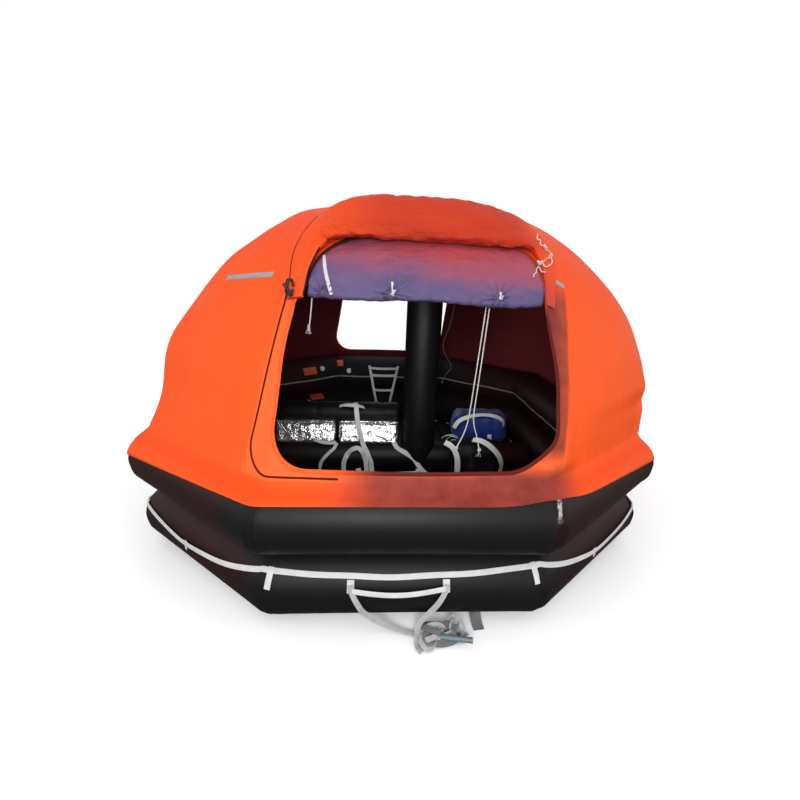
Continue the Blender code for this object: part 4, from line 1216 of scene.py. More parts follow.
ties = Heap()
for width, *route in (
    (TIE_WIDTH, (-0.405, 1.662), (-0.393, 1.6), (-0.375, 1.54), (-0.356, 1.482)),
    (THIN_TIE, (0.412, 1.528), (0.415, 1.508), (0.418, 1.486)),
    (THIN_TIE, (-0.087, 1.556), (-0.083, 1.525), (-0.08, 1.486)),
):
    fine = smooth_line([(x, 0, z) for x, z in route], 0.006)
    path = soften(np.array([on_curtain(x, z, 0.0022) for x, _, z in fine]), 2, wrap=False)
    ties.carry(path, web_section(width, TIE_THICK), (0, -1, 0))


def knot(heap, centre, size, seed):
    """A small overhand knot: a cord wound twice round itself."""
    turns = np.linspace(0, 2 * pi * 2.2, 60)
    tilt = seed * 1.3
    ring = np.stack((np.cos(turns), 0.7 * np.sin(turns * 1.5 + tilt), np.sin(turns + tilt)), axis=1) * size
    heap.carry(np.array(centre) + ring, circle(8, size * 0.42), (0.2, -1, 0.3))


knot(ties, on_curtain(-0.08, 1.506, 0.01), 0.009, 1)
knot(ties, on_curtain(0.415, 1.5, 0.008), 0.007, 2)
ties.build_both("front_curtain_ties", web_white, slot="webbing")

lacing = Heap()
for route in (
    ((0.64, 1.8), (0.632, 1.778), (0.655, 1.762), (0.648, 1.745), (0.672, 1.735), (0.69, 1.718),
    (0.712, 1.712)),
    ((0.712, 1.712), (0.692, 1.692), (0.668, 1.676), (0.64, 1.664), (0.622, 1.64), (0.6, 1.612),
    (0.58, 1.592)),
    ((0.64, 1.664), (0.655, 1.645), (0.685, 1.65), (0.7, 1.672), (0.712, 1.712)),
    ((0.622, 1.64), (0.64, 1.622), (0.655, 1.618)),
):
    path, out = over_front(route, 0.004, 0.005)
    wobble = 0.003 * np.sin(np.arange(len(path))[:, None] * (0.9, 0.7, 0.8))
    lacing.carry(path + wobble, circle(8, 0.0028), out)
knot(lacing, on_front(0.668, 1.735, 0.01)[0], 0.007, 3)
knot(lacing, on_front(0.64, 1.664, 0.01)[0], 0.008, 4)
lacing.build_both("front_flap_lacing", cord_white, slot="cord_white")

toggle = Heap()
for shift, wide in ((0.0, 0.02), (0.012, 0.013)):
    loop = []
    for k in range(17):
        turn = 2 * pi * k / 16
        x = -0.549 + shift + wide * cos(turn)
        z = 1.505 + 0.038 * sin(turn)
        loop.append(on_front(x, z, 0.01 + 0.008 * sin(turn / 2))[0])
    toggle.carry(soften(np.array(loop), 1.2, wrap=False), circle(8, 0.0038), (0, -1, 0))
bar_path = np.array([on_front(x, z, 0.014)[0] for x, z in ((-0.58, 1.512), (-0.555, 1.5), (-0.528, 1.474))])
toggle.carry(smooth_line(bar_path, 0.006), circle(10, 0.0075), (0, -1, 0))
toggle.build_both("front_flap_toggle", cord_black, slot="cord_black")

# Grab lines
# White webbing. One runs round the outside of the lower tube and hangs slack between tabs of the same
# webbing, which are glued on at the corners. The other runs round inside the upper tube.
WEB = 0.0024
WEB_WIDTH = 0.025
BAND_STEP = 0.02
TAB_ANGLES = (0.46, 0.5, 0.82, 0.82, 0.5, 0.48, 0.8, 0.88)
SAGS = (0.06, 0.48, 0.22, 0.46, 0.06, 0.46, 0.22, 0.52)
TAB_WIDTH = 0.03
TAB_THICK = 0.0022
TAB_FROM_CORNER = 0.035
LOWER_HEIGHT = TUBE_RADIUS


def on_tube(run, lift, share=LOWER_SHARE, height=LOWER_HEIGHT, proud=0.0, side=1):
    """A point on a tube at a distance round the raft and an angle above its middle, and its way out."""
    line, way = plan_at([run])
    reach = TUBE_RADIUS + proud
    out = np.array((*(way[0] * cos(lift) * side), sin(lift)))
    place = np.array((*(line[0] * share), height)) + out * reach
    return place, unit(out)


def line_lift(facet, share):
    """The angle above the tube's middle at which the grab line lies, part of the way along a side."""
    level = TAB_ANGLES[facet] + (TAB_ANGLES[(facet + 1) % 8] - TAB_ANGLES[facet]) * share
    return level - SAGS[facet] * 4 * share * (1 - share)


line_runs = np.arange(0, ROUND, BAND_STEP)
outer = []
for run in line_runs:
    corner = np.searchsorted(CORNER_RUNS, run, side="right") - 1
    share = (run - CORNER_RUNS[corner]) / SIDE_LENGTHS[corner]
    lift = line_lift(corner, share) + 0.012 * sin(17 * run) * sin(pi * share)
    outer.append(on_tube(run, lift, proud=0.0018 + 0.004 * sin(pi * share) ** 2))


def closed_band(name, path, outward, section, material, nodes):
    """Webbing that runs all the way round."""
    ahead = unit(np.roll(path, -1, axis=0) - np.roll(path, 1, axis=0))
    outward = unit(outward - ahead * (outward * ahead).sum(axis=1, keepdims=True))
    across = np.cross(ahead, outward)
    rings = path[:, None] + outward[:, None] * section[None, :, :1] + across[:, None] * section[None, :, 1:]
    run = np.arange(len(path))[:, None] * BAND_STEP
    lay = np.stack(np.broadcast_arrays(run, section[None, :, 1]), axis=-1)
    faces = grid_faces(*rings.shape[:2], True, True)
    build(name, rings, faces, material, nodes, "webbing", lay)


band = web_section(WEB_WIDTH, WEB)
narrow_band = web_section(0.014, WEB)
closed_band("outer_grab_webbing", *split(outer), band, web_white, ("outer_grab_line",))
inner_line, inner_way = plan_at(line_runs)
inner_place = inner_line - inner_way * (TUBE_RADIUS + 0.0012)
slack_z = UPPER_HEIGHT - 0.006 * np.sin(line_runs * 5.0) ** 2
inner_points = np.column_stack((inner_place, slack_z))
inner_out = np.column_stack((-inner_way, 0 * slack_z))
# The inner line is drawn in darker webbing, as painted shade inside the canopy.
closed_band("inner_grab_webbing", inner_points, inner_out, narrow_band, web_inside_shade, ("inner_grab_line",))

tabs = Heap()
tab_section = web_section(TAB_WIDTH, TAB_THICK)
for corner in range(8):
    run = CORNER_RUNS[corner] + (TAB_FROM_CORNER if corner % 2 == 0 else -TAB_FROM_CORNER)
    lifts = TAB_ANGLES[corner] - 0.02 + np.linspace(-0.44, 0.075, 14)
    path, out = split([on_tube(run, lift, proud=0.0008) for lift in lifts])
    bump = np.exp(-(((lifts - TAB_ANGLES[corner]) / 0.1) ** 2)) * 0.005
    tabs.carry(path + out * bump[:, None], tab_section, out)
for facet in (FRONT_LEFT, FRONT_RIGHT, BACK_LEFT, BACK_RIGHT):
    run = CORNER_RUNS[facet] + SIDE_LENGTHS[facet] * 0.45
    lifts = line_lift(facet, 0.45) + np.linspace(-0.17, 0.08, 10)
    path, out = split([on_tube(run, lift, proud=0.0062) for lift in lifts])
    tabs.carry(path, tab_section, out)
tabs.build("grab_line_tabs", web_white, slot="webbing")

# Boarding handle and ladder
# A webbing handle between two sewn patches under each door, and below it the boarding ladder: two webbing
# straps that hang from the same patches and end in a tied bundle on the ground, with a plastic rung.
PATCH_LIFT = 0.39
PATCH_LENGTH = 0.058
PATCH_WIDTH = 0.032
HANDLE_LEFT = -0.245
HANDLE_RIGHT = 0.187


def on_front_tube(x, lift, proud):
    """A point over x on the lower tube's front, at an angle above its middle, and its way out."""
    out = np.array((0.0, -cos(lift), sin(lift)))
    return np.array((x, -HALF_SIZE * LOWER_SHARE, LOWER_HEIGHT)) + out * (TUBE_RADIUS + proud), out


for label, x in (("left", HANDLE_LEFT), ("right", HANDLE_RIGHT)):
    patch = Heap()
    lifts = PATCH_LIFT + np.linspace(-0.5, 0.5, 12) * PATCH_LENGTH / TUBE_RADIUS
    for proud, wide, part in ((0.001, PATCH_WIDTH, lifts), (0.0036, PATCH_WIDTH * 0.8, lifts[2:-2])):
        path, out = split([on_front_tube(x, lift, proud) for lift in part])
        patch.carry(path, web_section(wide, WEB), out)
    patch.build_both(f"front_patch_{label}", web_white, (f"front_handle_patch_{label}",), "webbing")

handle_route = []
for k in range(9):
    bow = sin(pi * k / 8)
    x = HANDLE_LEFT + 0.006 + (HANDLE_RIGHT - HANDLE_LEFT - 0.012) * k / 8
    handle_route.append((x, -1.5 - 0.016 * bow, 0.238 - 0.014 * bow + 0.01 * k / 8))
handle = Heap()
handle_path = smooth_line(handle_route, 0.008)
handle_hint = np.outer(np.sin(handle_path[:, 0] * 18), (0.1, 0, 0)) + (0, -1, 0.2)
handle.carry(handle_path, web_section(WEB_WIDTH, WEB * 1.6), handle_hint)
handle.build_both("front_handle", web_white, ("front_boarding_handle",), "webbing")


def lay_strap(heap, route, width=WEB_WIDTH, thick=WEB, step=0.008):
    """Webbing along points given as X, Y, Z and the way its face looks."""
    fine = smooth_line(route, step)
    heap.carry(fine[:, :3], web_section(width, thick), fine[:, 3:])


ladder = Heap()
lay_strap(ladder, (
    (-0.247, -1.494, 0.262, 0, -1, 0.45),
    (-0.238, -1.504, 0.228, 0, -1, 0.3),
    (-0.214, -1.514, 0.18, 0, -1, 0.9),
    (-0.19, -1.512, 0.135, 0, -1, 0.9),
    (-0.15, -1.504, 0.09, 0.1, -1, 0.9),
    (-0.1, -1.5, 0.052, 0.1, -1, 0.9),
    (-0.04, -1.505, 0.026, 0, -0.4, 1),
    (0.03, -1.52, 0.014, 0, -0.2, 1),
    (0.1, -1.53, 0.018, 0, -0.2, 1),
))
lay_strap(ladder, (
    (0.189, -1.494, 0.262, 0, -1, 0.45),
    (0.178, -1.504, 0.226, 0, -1, 0.3),
    (0.152, -1.514, 0.18, 0, -1, 0.9),
    (0.12, -1.512, 0.13, 0, -1, 0.9),
    (0.08, -1.51, 0.075, 0.3, -1, 0.9),
    (0.062, -1.52, 0.036, 0.2, -0.6, 1),
    (0.06, -1.55, 0.018, 0.3, -0.2, 1),
    (0.056, -1.586, 0.01, 0.2, -0.2, 1),
    (0.075, -1.612, 0.006, 0, -0.3, 1),
))

# The bundle: folds of the same strap heaped on the ground, and among them dark grey folds that are painted
# shade inside the loops
shade_folds = Heap()
BUNDLE_LOOPS = (
    (0.125, -1.535, 0.062, 0.03, 0.3, 0.03),
    (0.155, -1.52, 0.08, 0.034, -0.4, 0.04),
    (0.2, -1.515, 0.07, 0.03, 0.8, 0.034),
    (0.225, -1.54, 0.062, 0.026, -0.2, 0.026),
    (0.17, -1.555, 0.085, 0.028, 0.1, 0.02),
    (0.11, -1.56, 0.048, 0.03, 1.2, 0.016),
    (0.245, -1.52, 0.04, 0.026, 1.6, 0.038),
)
for k, (x, y, long, short, turn, height) in enumerate(BUNDLE_LOOPS):
    loop = []
    for t in np.linspace(0, 2 * pi * 0.93, 22):
        a = long * cos(t)
        b = short * sin(t)
        z = 0.014 + height * (0.55 + 0.45 * sin(t * 1.5 + k))
        tilt = 0.9 * sin(2 * t + k)
        px = x + a * cos(turn) - b * sin(turn)
        py = y + a * sin(turn) + b * cos(turn)
        loop.append((px, py, z, 0.8 * sin(t) * tilt, -0.5 - 0.3 * cos(t), 0.9 - 0.5 * abs(tilt)))
    lay_strap(ladder if k % 3 != 1 else shade_folds, loop, 0.023, WEB, 0.007)
# The ladder's straps and folds are drawn in darker webbing, as painted shade.
ladder.build_both("front_ladder_straps", web_low_shade, ("front_boarding_ladder",), "webbing")
shade_folds.build_both("front_ladder_grey_strap", web_grey_and_shade, slot="webbing")


def rung_paint(place):
    """Blue-grey moulded plastic with scratches along it."""
    scratch = place.stretch(0.2, 1.0, 1.0).noise(90.0, 3.0, 0.7)
    return {
        "Base Color": scratch.blend((0.075, 0.105, 0.135), (0.16, 0.21, 0.25)),
        "Roughness": scratch * 0.25 + 0.25,
        "Bump": scratch * 0.0004,
    }


rung_plastic = finish("rung_plastic", rung_paint)
rung_places = np.linspace(0, 1, 60)
rung_path = np.array((0.16, -1.575, 0.053)) + rung_places[:, None] * np.array((0.14, -0.021, 0.0))
grip = 0.0118 + 0.001 * (np.abs((rung_places * 9) % 1 - 0.5) < 0.3)
grip[:3] = grip[-3:] = 0.0128
rung = Heap()
rung.carry(rung_path, circle(20, 1.0)[None] * grip[:, None, None], (0, 0, 1))
rung.build_both("front_rung", rung_plastic, ("front_ladder_rung",), "rung_plastic")

loose_tab = Heap()
lay_strap(loose_tab, (
    (0.352, -1.418, 0.03, 0, -1, -0.4),
    (0.353, -1.452, 0.012, 0, -0.7, 1),
    (0.355, -1.476, 0.005, 0, -0.2, 1),
    (0.358, -1.498, 0.003, 0, 0, 1),
), 0.054, 0.0022)
loose_tab.build_both("front_ballast_line_tab", web_grey_and_shade, slot="webbing")

# Inner ladders
# A short ladder of the same webbing inside each door, sewn to the upper tube and narrow at its foot, with
# an orange patch where it is glued.
LADDER_X = -0.08
LADDER_TOP = 0.66
LADDER_FOOT = 0.15
LADDER_DEPTHS = (1.131, 1.158)
LADDER_HALVES = (0.05, 0.15)


def ladder_place(side, height, inward=0.0):
    """A point of the ladder from its left strap (-1) to its right one (1), and the way its face looks."""
    share = (height - LADDER_FOOT) / (LADDER_TOP - LADDER_FOOT)
    half = LADDER_HALVES[0] + (LADDER_HALVES[1] - LADDER_HALVES[0]) * share
    depth = LADDER_DEPTHS[0] - 0.008 + (LADDER_DEPTHS[1] - LADDER_DEPTHS[0]) * share
    return (LADDER_X + side * half, depth - inward, height, 0, -1, 0)


inner_ladder = Heap()
for side in (-1, 1):
    lay_strap(inner_ladder, [ladder_place(side, z) for z in (LADDER_TOP, 0.5, 0.3, LADDER_FOOT)])
for height in (0.634, 0.56, 0.4, 0.17):
    sides = (-1, -0.5, 0, 0.5, 1)
    lay_strap(inner_ladder, [ladder_place(side, height - 0.006 * (1 - side**2), 0.0026) for side in sides])
inner_ladder.build_both("back_inner_straps", web_white, ("back_inner_ladder",), "webbing")

# Valves and bare labels
# White plastic filling valves in the tubes, and orange label patches with nothing on them, glued round the
# inside.
BACK_MIDDLE = CORNER_RUNS[BACK] + SIDE_LENGTHS[BACK] / 2
VALVE_PROFILE = ((0.0, 0.026), (0.004, 0.026), (0.005, 0.018), (0.014, 0.017), (0.016, 0.013), (0.02, 0.012))


def back_run(x):
    """The distance round the raft to a place over x on the back half of a tube."""
    return BACK_MIDDLE - np.sign(x) * (abs(x) + 0.55 * max(0.0, abs(x) - END_HALF))


valves = Heap()
for x, lift, share, height in (
    (-0.755, 0.55, 1.0, UPPER_HEIGHT),
    (-0.492, 0.3, 1.0, UPPER_HEIGHT),
    (-0.88, 0.74, LOWER_SHARE, LOWER_HEIGHT),
):
    place, out = on_tube(back_run(x), lift, share, height, -0.002, side=-1)
    reaches, radii = np.array(VALVE_PROFILE).T
    path = place + out * reaches[:, None]
    valves.carry(path, circle(28, 1.0)[None] * radii[:, None, None], (0.3, 0.2, 1))
valve_paint = mottled((0.55, 0.54, 0.5), (0.8, 0.79, 0.75), (40.0, 3.0))
valve_plastic = finish("valve_plastic", valve_paint, Roughness=0.4)
valves.build("inflation_valves", valve_plastic, slot="cord_white", sharp=40)
label_paint = mottled((0.5, 0.05, 0.012), (0.72, 0.085, 0.018), (25.0, 4.0))
label_cloth = finish("label_cloth", label_paint, Roughness=0.5)
labels = Heap()
for x, lift, share, height, wide, long in (
    (-0.86, 0.5, 1.0, UPPER_HEIGHT, 0.14, 0.075),
    (-0.56, 0.78, 1.0, UPPER_HEIGHT, 0.11, 0.075),
    (-0.8, 1.05, LOWER_SHARE, LOWER_HEIGHT, 0.14, 0.08),
):
    lifts = lift + np.linspace(-0.5, 0.5, 8) * long / TUBE_RADIUS
    path, out = split([on_tube(back_run(x), value, share, height, 0.0006, side=-1) for value in lifts])
    labels.carry(path, web_section(wide, 0.001), out)
labels.build("bare_labels", label_cloth, slot="canopy_cloth")

# Foil packs
# Two packs of emergency kit, vacuum-packed in crinkled aluminium foil with a sealed rim, laid on the
# thwart.
KIT_REST = THWART_HEIGHT + THWART_RADIUS + 0.002
PACK_SIZE = (0.455, 0.095, 0.155)
PACK_Y = 0.015
RIM_REACH = 0.228
RIM_FOOT = 0.455
RIM_WIDTH = 0.014


def soft_box(size, radius, cuts, swell=0.0):
    """Points and faces of a box with round edges and swollen faces, its middle at the origin."""
    shape = bmesh.new()
    bmesh.ops.create_cube(shape, size=2.0)
    bmesh.ops.subdivide_edges(shape, edges=list(shape.edges), cuts=cuts, use_grid_fill=True)
    points = np.array([vertex.co for vertex in shape.verts])
    faces = [tuple(vertex.index for vertex in face.verts) for face in shape.faces]
    shape.free()
    half = np.array(size) / 2
    swollen = np.ones_like(points)
    for axis in range(3):
        a, b = (k for k in range(3) if k != axis)
        swollen[:, axis] += swell * (1 - points[:, a] ** 2) * (1 - points[:, b] ** 2)
    place = points * half
    core = np.clip(place, radius - half, half - radius)
    return (core + unit(place - core + 1e-9 * points) * radius) * swollen, faces


def foil_paint(place):
    """Aluminium foil: mirror-like facets, dull where it has been handled, in a small embossed grid."""
    handled = place.noise(26.0, 4.0, 0.7)
    facets = place.stretch(1.0, 1.0, 0.55).noise(19.0, 3.0, 0.6)
    edges = {"feature": "DISTANCE_TO_EDGE"}
    grid = place.node("ShaderNodeTexVoronoi", edges, {"Vector": place, "Scale": 65.0})
    return {
        "Base Color": handled.blend((0.66, 0.65, 0.65), (0.98, 0.97, 0.96)),
        "Roughness": handled * 0.2 + 0.14,
        "Bump": facets * 0.016 + grid.maths("MINIMUM", 0.12) * 0.004,
    }


foil = finish("foil", foil_paint, Metallic=0.92)
for label, x, seed in (("left", -0.7, 11), ("right", -0.205, 12)):
    points, faces = soft_box(PACK_SIZE, 0.022, 34, 0.05)
    sharp = np.abs(uneven(points, 0.055, seed)) + 0.5 * np.abs(uneven(points, 0.024, seed + 2))
    points = points - unit(points * (0.3, 1, 1)) * (sharp * 0.01)[:, None]
    points[:, 1] += points[:, 2] * 0.4
    points = points + (x, PACK_Y, KIT_REST + PACK_SIZE[2] / 2 - 0.001)
    pack = Heap()
    pack.add(points, faces)
    top = KIT_REST + PACK_SIZE[2] + 0.001
    rim = ((x - RIM_REACH, PACK_Y, RIM_FOOT), (x, PACK_Y, top), (x + RIM_REACH, PACK_Y, RIM_FOOT))
    lay_strap(pack, [(*place, 0, -1, 0) for place in rim], RIM_WIDTH, 0.0014, 0.012)
    pack.build(f"foil_pack_{label}_skin", foil, (f"foil_pack_{label}",), "foil", sharp=25)

# Stowed cloth roll
# The spare boarding cloth behind the packs, of black coated cloth. It is rolled up loosely and drawn in
# where straps go round it.
ROLL_SECTION = (
    (0.066, 0.31), (0.066, 0.49), (0.09, 0.55), (0.15, 0.582), (0.215, 0.56), (0.255, 0.49),
    (0.258, 0.34), (0.225, 0.24), (0.17, 0.205), (0.125, 0.225), (0.096, 0.272),
)
ROLL_LOW, ROLL_HIGH = -0.925, 0.04
ROLL_MIDDLE = np.array((0.165, 0.395))
section = smooth_line([(y, z, 0.0) for y, z in (*ROLL_SECTION, ROLL_SECTION[0])], 0.014)
section = section[:-1, :2] - ROLL_MIDDLE
roll_x = np.linspace(ROLL_LOW, ROLL_HIGH, 100)
ends = np.clip(np.minimum(roll_x - ROLL_LOW, ROLL_HIGH - roll_x) / 0.035, 0, 1)
tuck = 0.8 + 0.19 * np.sqrt(1 - (1 - ends) ** 2)
for strap_x in (-0.62, -0.343, -0.1):
    tuck -= 0.035 * np.exp(-(((roll_x - strap_x) / 0.022) ** 2))
roll = np.empty((len(roll_x), len(section), 3))
roll[..., 0] = roll_x[:, None]
roll[..., 1:] = ROLL_MIDDLE + section[None] * tuck[:, None, None]
crease = uneven(roll * (0.25, 1, 1), 0.05, 14) * 0.007
roll[..., 1:] -= unit(section)[None] * np.abs(crease)[..., None]

# Black woven nylon, faded along its creases
black_weave = ((0.0003, EVEN, (260.0, 1.0)), (0.004, (0.4, 1, 1), (24.0, 3.0)))
black_tones = ((0.0045, 0.0045, 0.0052), (0.018, 0.018, 0.02))
black_paint = mottled(*black_tones, (14.0, 5.0, 0.7), 0.5, (0.5, 0.8), black_weave)
black_nylon = finish("bag_black", black_paint, Specular_IOR_Level=0.15)
cloth_roll = build("spare_cloth_roll", roll, capped(roll), black_nylon, ("stowed_cloth_roll",), "bag_black")

# Straps over the thwart
# Loose white webbing that holds the packs and the roll down on the thwart, its ends trailing to the floor.
THWART_WEB = 0.036
strap_heap = Heap()


def on_thwart(x, angle, proud=0.002):
    """A point on the thwart at an angle forward of its top, and its way out."""
    out = (0.0, -sin(angle), cos(angle))
    reach = THWART_RADIUS + proud
    return (x, out[1] * reach, THWART_HEIGHT + out[2] * reach, *out)


def thwart_strap(*stops):
    """Points of a strap over the thwart, given as x, the angle and how proud it lies."""
    return [on_thwart(*stop) for stop in stops]


PACK_FRONT = PACK_Y - PACK_SIZE[1] / 2 - 0.006
PACK_TOP = KIT_REST + PACK_SIZE[2] + 0.008
lay_strap(strap_heap, [
    (-0.435, 0.06, 0.575, 0, -0.4, 1), (-0.385, 0.04, 0.59, 0, -0.5, 1), (-0.335, 0.03, 0.592, 0, -0.5, 1),
    (-0.29, 0.036, 0.586, 0, -0.5, 1), (-0.245, 0.062, 0.566, 0, -0.4, 1),
], THWART_WEB)
lay_strap(strap_heap, [
    (-0.315, 0.1, 0.59, 0, 0, 1), (-0.306, 0.03, 0.588, 0, -0.7, 1),
    (-0.298, PACK_FRONT + 0.02, 0.54, 0, -1, 0.4),
    (-0.288, PACK_FRONT - 0.004, PACK_TOP, 0, -1, 0.3), (-0.275, PACK_FRONT - 0.006, 0.4, 0, -1, 0),
    (-0.255, PACK_FRONT - 0.01, 0.325, 0, -1, 0.1), (-0.236, -0.085, 0.29, 0, -0.8, 0.7),
    *thwart_strap((-0.214, 0.95), (-0.196, 1.3), (-0.18, 1.65)), (-0.172, -0.136, 0.07, 0, -1, 0.3),
], THWART_WEB)
lay_strap(strap_heap, [
    (-0.64, PACK_FRONT - 0.004, 0.345, 0, -1, 0.2), (-0.585, -0.052, 0.322, 0, -0.9, 0.6),
    (-0.52, -0.058, 0.312, 0, -0.7, 0.8), (-0.462, -0.05, 0.308, 0, -0.5, 0.9),
], THWART_WEB)
lay_strap(strap_heap, [
    (-0.452, -0.05, 0.306, 0.2, -0.5, 0.9), *thwart_strap((-0.47, 0.7), (-0.505, 1.0), (-0.545, 1.35),
    (-0.572, 1.75)),
    (-0.585, -0.132, 0.068, 0, -1, 0.3),
])
lay_strap(strap_heap, [
    (-0.396, -0.14, 0.068, 0, -1, 0.2), *thwart_strap((-0.392, 1.7), (-0.38, 1.35), (-0.362, 1.05)),
    (-0.33, -0.112, 0.278, 0, -0.8, 0.7), (-0.285, -0.112, 0.292, 0.2, -0.8, 0.8),
    (-0.25, -0.126, 0.268, 0.3, -0.9, 0.5), *thwart_strap((-0.232, 1.28, 0.006), (-0.22, 1.6, 0.006)),
    (-0.212, -0.15, 0.068, 0, -1, 0.2),
], THWART_WEB)
lay_strap(strap_heap, [
    (-0.01, PACK_FRONT - 0.004, 0.33, 0.2, -1, 0.3), *thwart_strap((0.02, 0.6), (0.085, 0.95), (0.15, 1.3)),
    (0.215, -0.142, 0.13, 0.3, -1, 0.4), (0.29, -0.165, 0.07, 0.2, -0.8, 0.8), (0.33, -0.215, 0.064, 0, 0, 1),
], THWART_WEB)
strap_heap.build("thwart_straps", web_white, slot="webbing")

# Blue bag
# The first-aid and repair bag, of blue woven nylon with a rolled top, packed full and strapped with white
# webbing.
BLUE_BAG_SIZE = (0.43, 0.225, 0.235)
BLUE_BAG_PLACE = (0.7, 0.1, KIT_REST + 0.119)

points, faces = soft_box(BLUE_BAG_SIZE, 0.05, 26, 0.06)
points[:, 0] *= 1 - 0.1 * np.clip(points[:, 2] / BLUE_BAG_SIZE[2], 0, 1)
points += unit(points) * (0.01 * uneven(points, 0.09, 21) - 0.004)[:, None]
for strap_x in (-0.11, 0.09):
    points[:, 1:] *= (1 - 0.045 * np.exp(-(((points[:, 0] - strap_x) / 0.022) ** 2)))[:, None]
points += BLUE_BAG_PLACE

# Blue woven nylon, paler where it is creased
blue_weave = ((0.0003, EVEN, (240.0, 1.0)), (0.006, EVEN, (17.0, 3.0)))
blue_paint = mottled((0.003, 0.01, 0.09), (0.01, 0.036, 0.24), (12.0, 5.0, 0.65), 0.42, bumps=blue_weave)
blue_nylon = finish("bag_blue", blue_paint, Sheen_Weight=0.1)
blue_bag = build("first_aid_bag", points, faces, blue_nylon, ("equipment_bag_blue",), "bag_blue")

# Black bag
# The holdall for flares and paddles, of black nylon, standing on the floor in front of the thwart. Webbing
# straps go over both bags, and this one has thin draw loops at its top.
BLACK_BAG_SIZE = (0.345, 0.23, 0.385)
BLACK_BAG_PLACE = (0.575, -0.31, FLOOR_HIGH + 0.2)
points, faces = soft_box(BLACK_BAG_SIZE, 0.06, 28, 0.07)
points[:, 1] *= 1 - 0.35 * np.clip(points[:, 2] / BLACK_BAG_SIZE[2], 0, 1)
points += unit(points) * (0.012 * uneven(points, 0.1, 24) - 0.008)[:, None]
points += BLACK_BAG_PLACE
black_bag = build("flare_bag", points, faces, black_nylon, ("equipment_bag_black",), "bag_black")

BAG_WEB = 0.038
bag_straps = Heap()
lay_strap(bag_straps, [
    (0.47, -0.03, 0.44, -0.3, -1, 0.3), (0.5, -0.045, 0.5, -0.3, -1, 0.5),
    (0.56, -0.045, 0.535, 0, -0.8, 0.8),
    (0.64, -0.03, 0.548, 0, -0.6, 1), (0.72, -0.028, 0.552, 0, -0.6, 1), (0.8, -0.035, 0.54, 0.2, -0.8, 0.8),
    (0.855, -0.03, 0.505, 0.4, -0.9, 0.4), (0.88, 0.0, 0.44, 0.6, -0.8, 0.1),
], 0.032)
lay_strap(bag_straps, [
    (0.757, -0.044, 0.392, 0, -1, 0.1), (0.76, -0.046, 0.36, 0, -1, 0.1), (0.764, -0.044, 0.326, 0, -1, 0.0),
], 0.032)
lay_strap(bag_straps, [
    (0.34, -0.385, 0.47, -0.4, -0.8, 0.6), (0.385, -0.42, 0.452, -0.4, -0.9, 0.5),
    (0.418, -0.44, 0.395, -0.3, -1, 0.1),
    (0.43, -0.447, 0.31, -0.2, -1, 0), (0.428, -0.446, 0.215, -0.2, -1, 0), (0.424, -0.44, 0.14, -0.2, -1, 0),
], BAG_WEB)
lay_strap(bag_straps, [
    (0.545, -0.35, 0.478, 0, -0.7, 0.8), (0.59, -0.385, 0.486, 0, -0.8, 0.7),
    (0.65, -0.415, 0.462, 0.2, -1, 0.5),
    (0.705, -0.436, 0.41, 0.3, -1, 0.3), (0.738, -0.44, 0.35, 0.5, -1, 0), (0.742, -0.44, 0.29, 0.5, -1, 0),
    (0.726, -0.444, 0.22, 0.3, -1, 0), (0.716, -0.444, 0.15, 0.2, -1, 0),
], BAG_WEB)
bag_straps.build("bag_straps", web_white, slot="webbing")

loops = Heap()
for k, (x, y, z, wide, high) in enumerate((
    (0.405, -0.215, 0.452, 0.06, 0.055),
    (0.425, -0.225, 0.435, 0.046, 0.062),
    (0.445, -0.235, 0.425, 0.035, 0.045),
)):
    loop = []
    for t in np.linspace(0.05, 1.02, 26) * pi:
        loop.append((x - wide * cos(t), y - 0.05 * sin(t), z + high * sin(t) - 0.03 + 0.01 * k * cos(t)))
    loops.carry(np.array(loop), circle(8, 0.0028), (0, -1, 0.2))
loops.build("bag_draw_loops", cord_white, slot="cord_white")

# Curtain cords
# Thin braided cords that hang inside the front door from the curtain's foot: two white ones, which end in
# knots with frayed tails, a thin black one, and a short frayed one at the left.
CORD_TOP = 1.466
CORDS = (
    ("curtain_cord_left", 0.006, cord_white, "cord_white", (
        (0.361, -1.04, CORD_TOP), (0.352, -1.04, 1.3), (0.34, -1.038, 1.08), (0.331, -1.035, 0.93),
        (0.319, -1.03, 0.83), (0.281, -1.025, 0.722),
    )),
    ("curtain_cord_right", 0.006, cord_white, "cord_white", (
        (0.377, -1.04, CORD_TOP), (0.369, -1.04, 1.28), (0.359, -1.04, 1.07), (0.352, -1.04, 0.93),
        (0.358, -1.035, 0.864), (0.381, -1.03, 0.792), (0.404, -1.025, 0.712),
    )),
    ("curtain_cord_dark", 0.004, cord_black, "cord_black", (
        (0.212, -1.04, CORD_TOP), (0.195, -1.04, 1.364), (0.169, -1.04, 1.258), (0.215, -1.04, 1.166),
        (0.194, -1.04, 1.125), (0.177, -1.04, 1.084),
    )),
    ("door_cord_short", 0.006, cord_white, "cord_white", (
        (-0.452, -1.02, CORD_TOP), (-0.457, -1.02, 1.42), (-0.463, -1.02, 1.37), (-0.472, -1.02, 1.315),
    )),
)


def frayed(heap, start, length, seed, strands, radius=0.0009):
    """Loose strands below the end of a cord."""
    for k in range(strands):
        turn = 2 * pi * k / strands + seed
        points = []
        for t in np.linspace(0, 1, 12):
            spread = 0.012 * t**1.4
            sway = 0.004 * sin(7 * t + k * 2.1 + seed)
            shift = (spread * cos(turn) + sway, spread * sin(turn) * 0.6, -length * t)
            points.append(start + np.array(shift))
        heap.carry(points, circle(6, radius), (0, -1, 0))


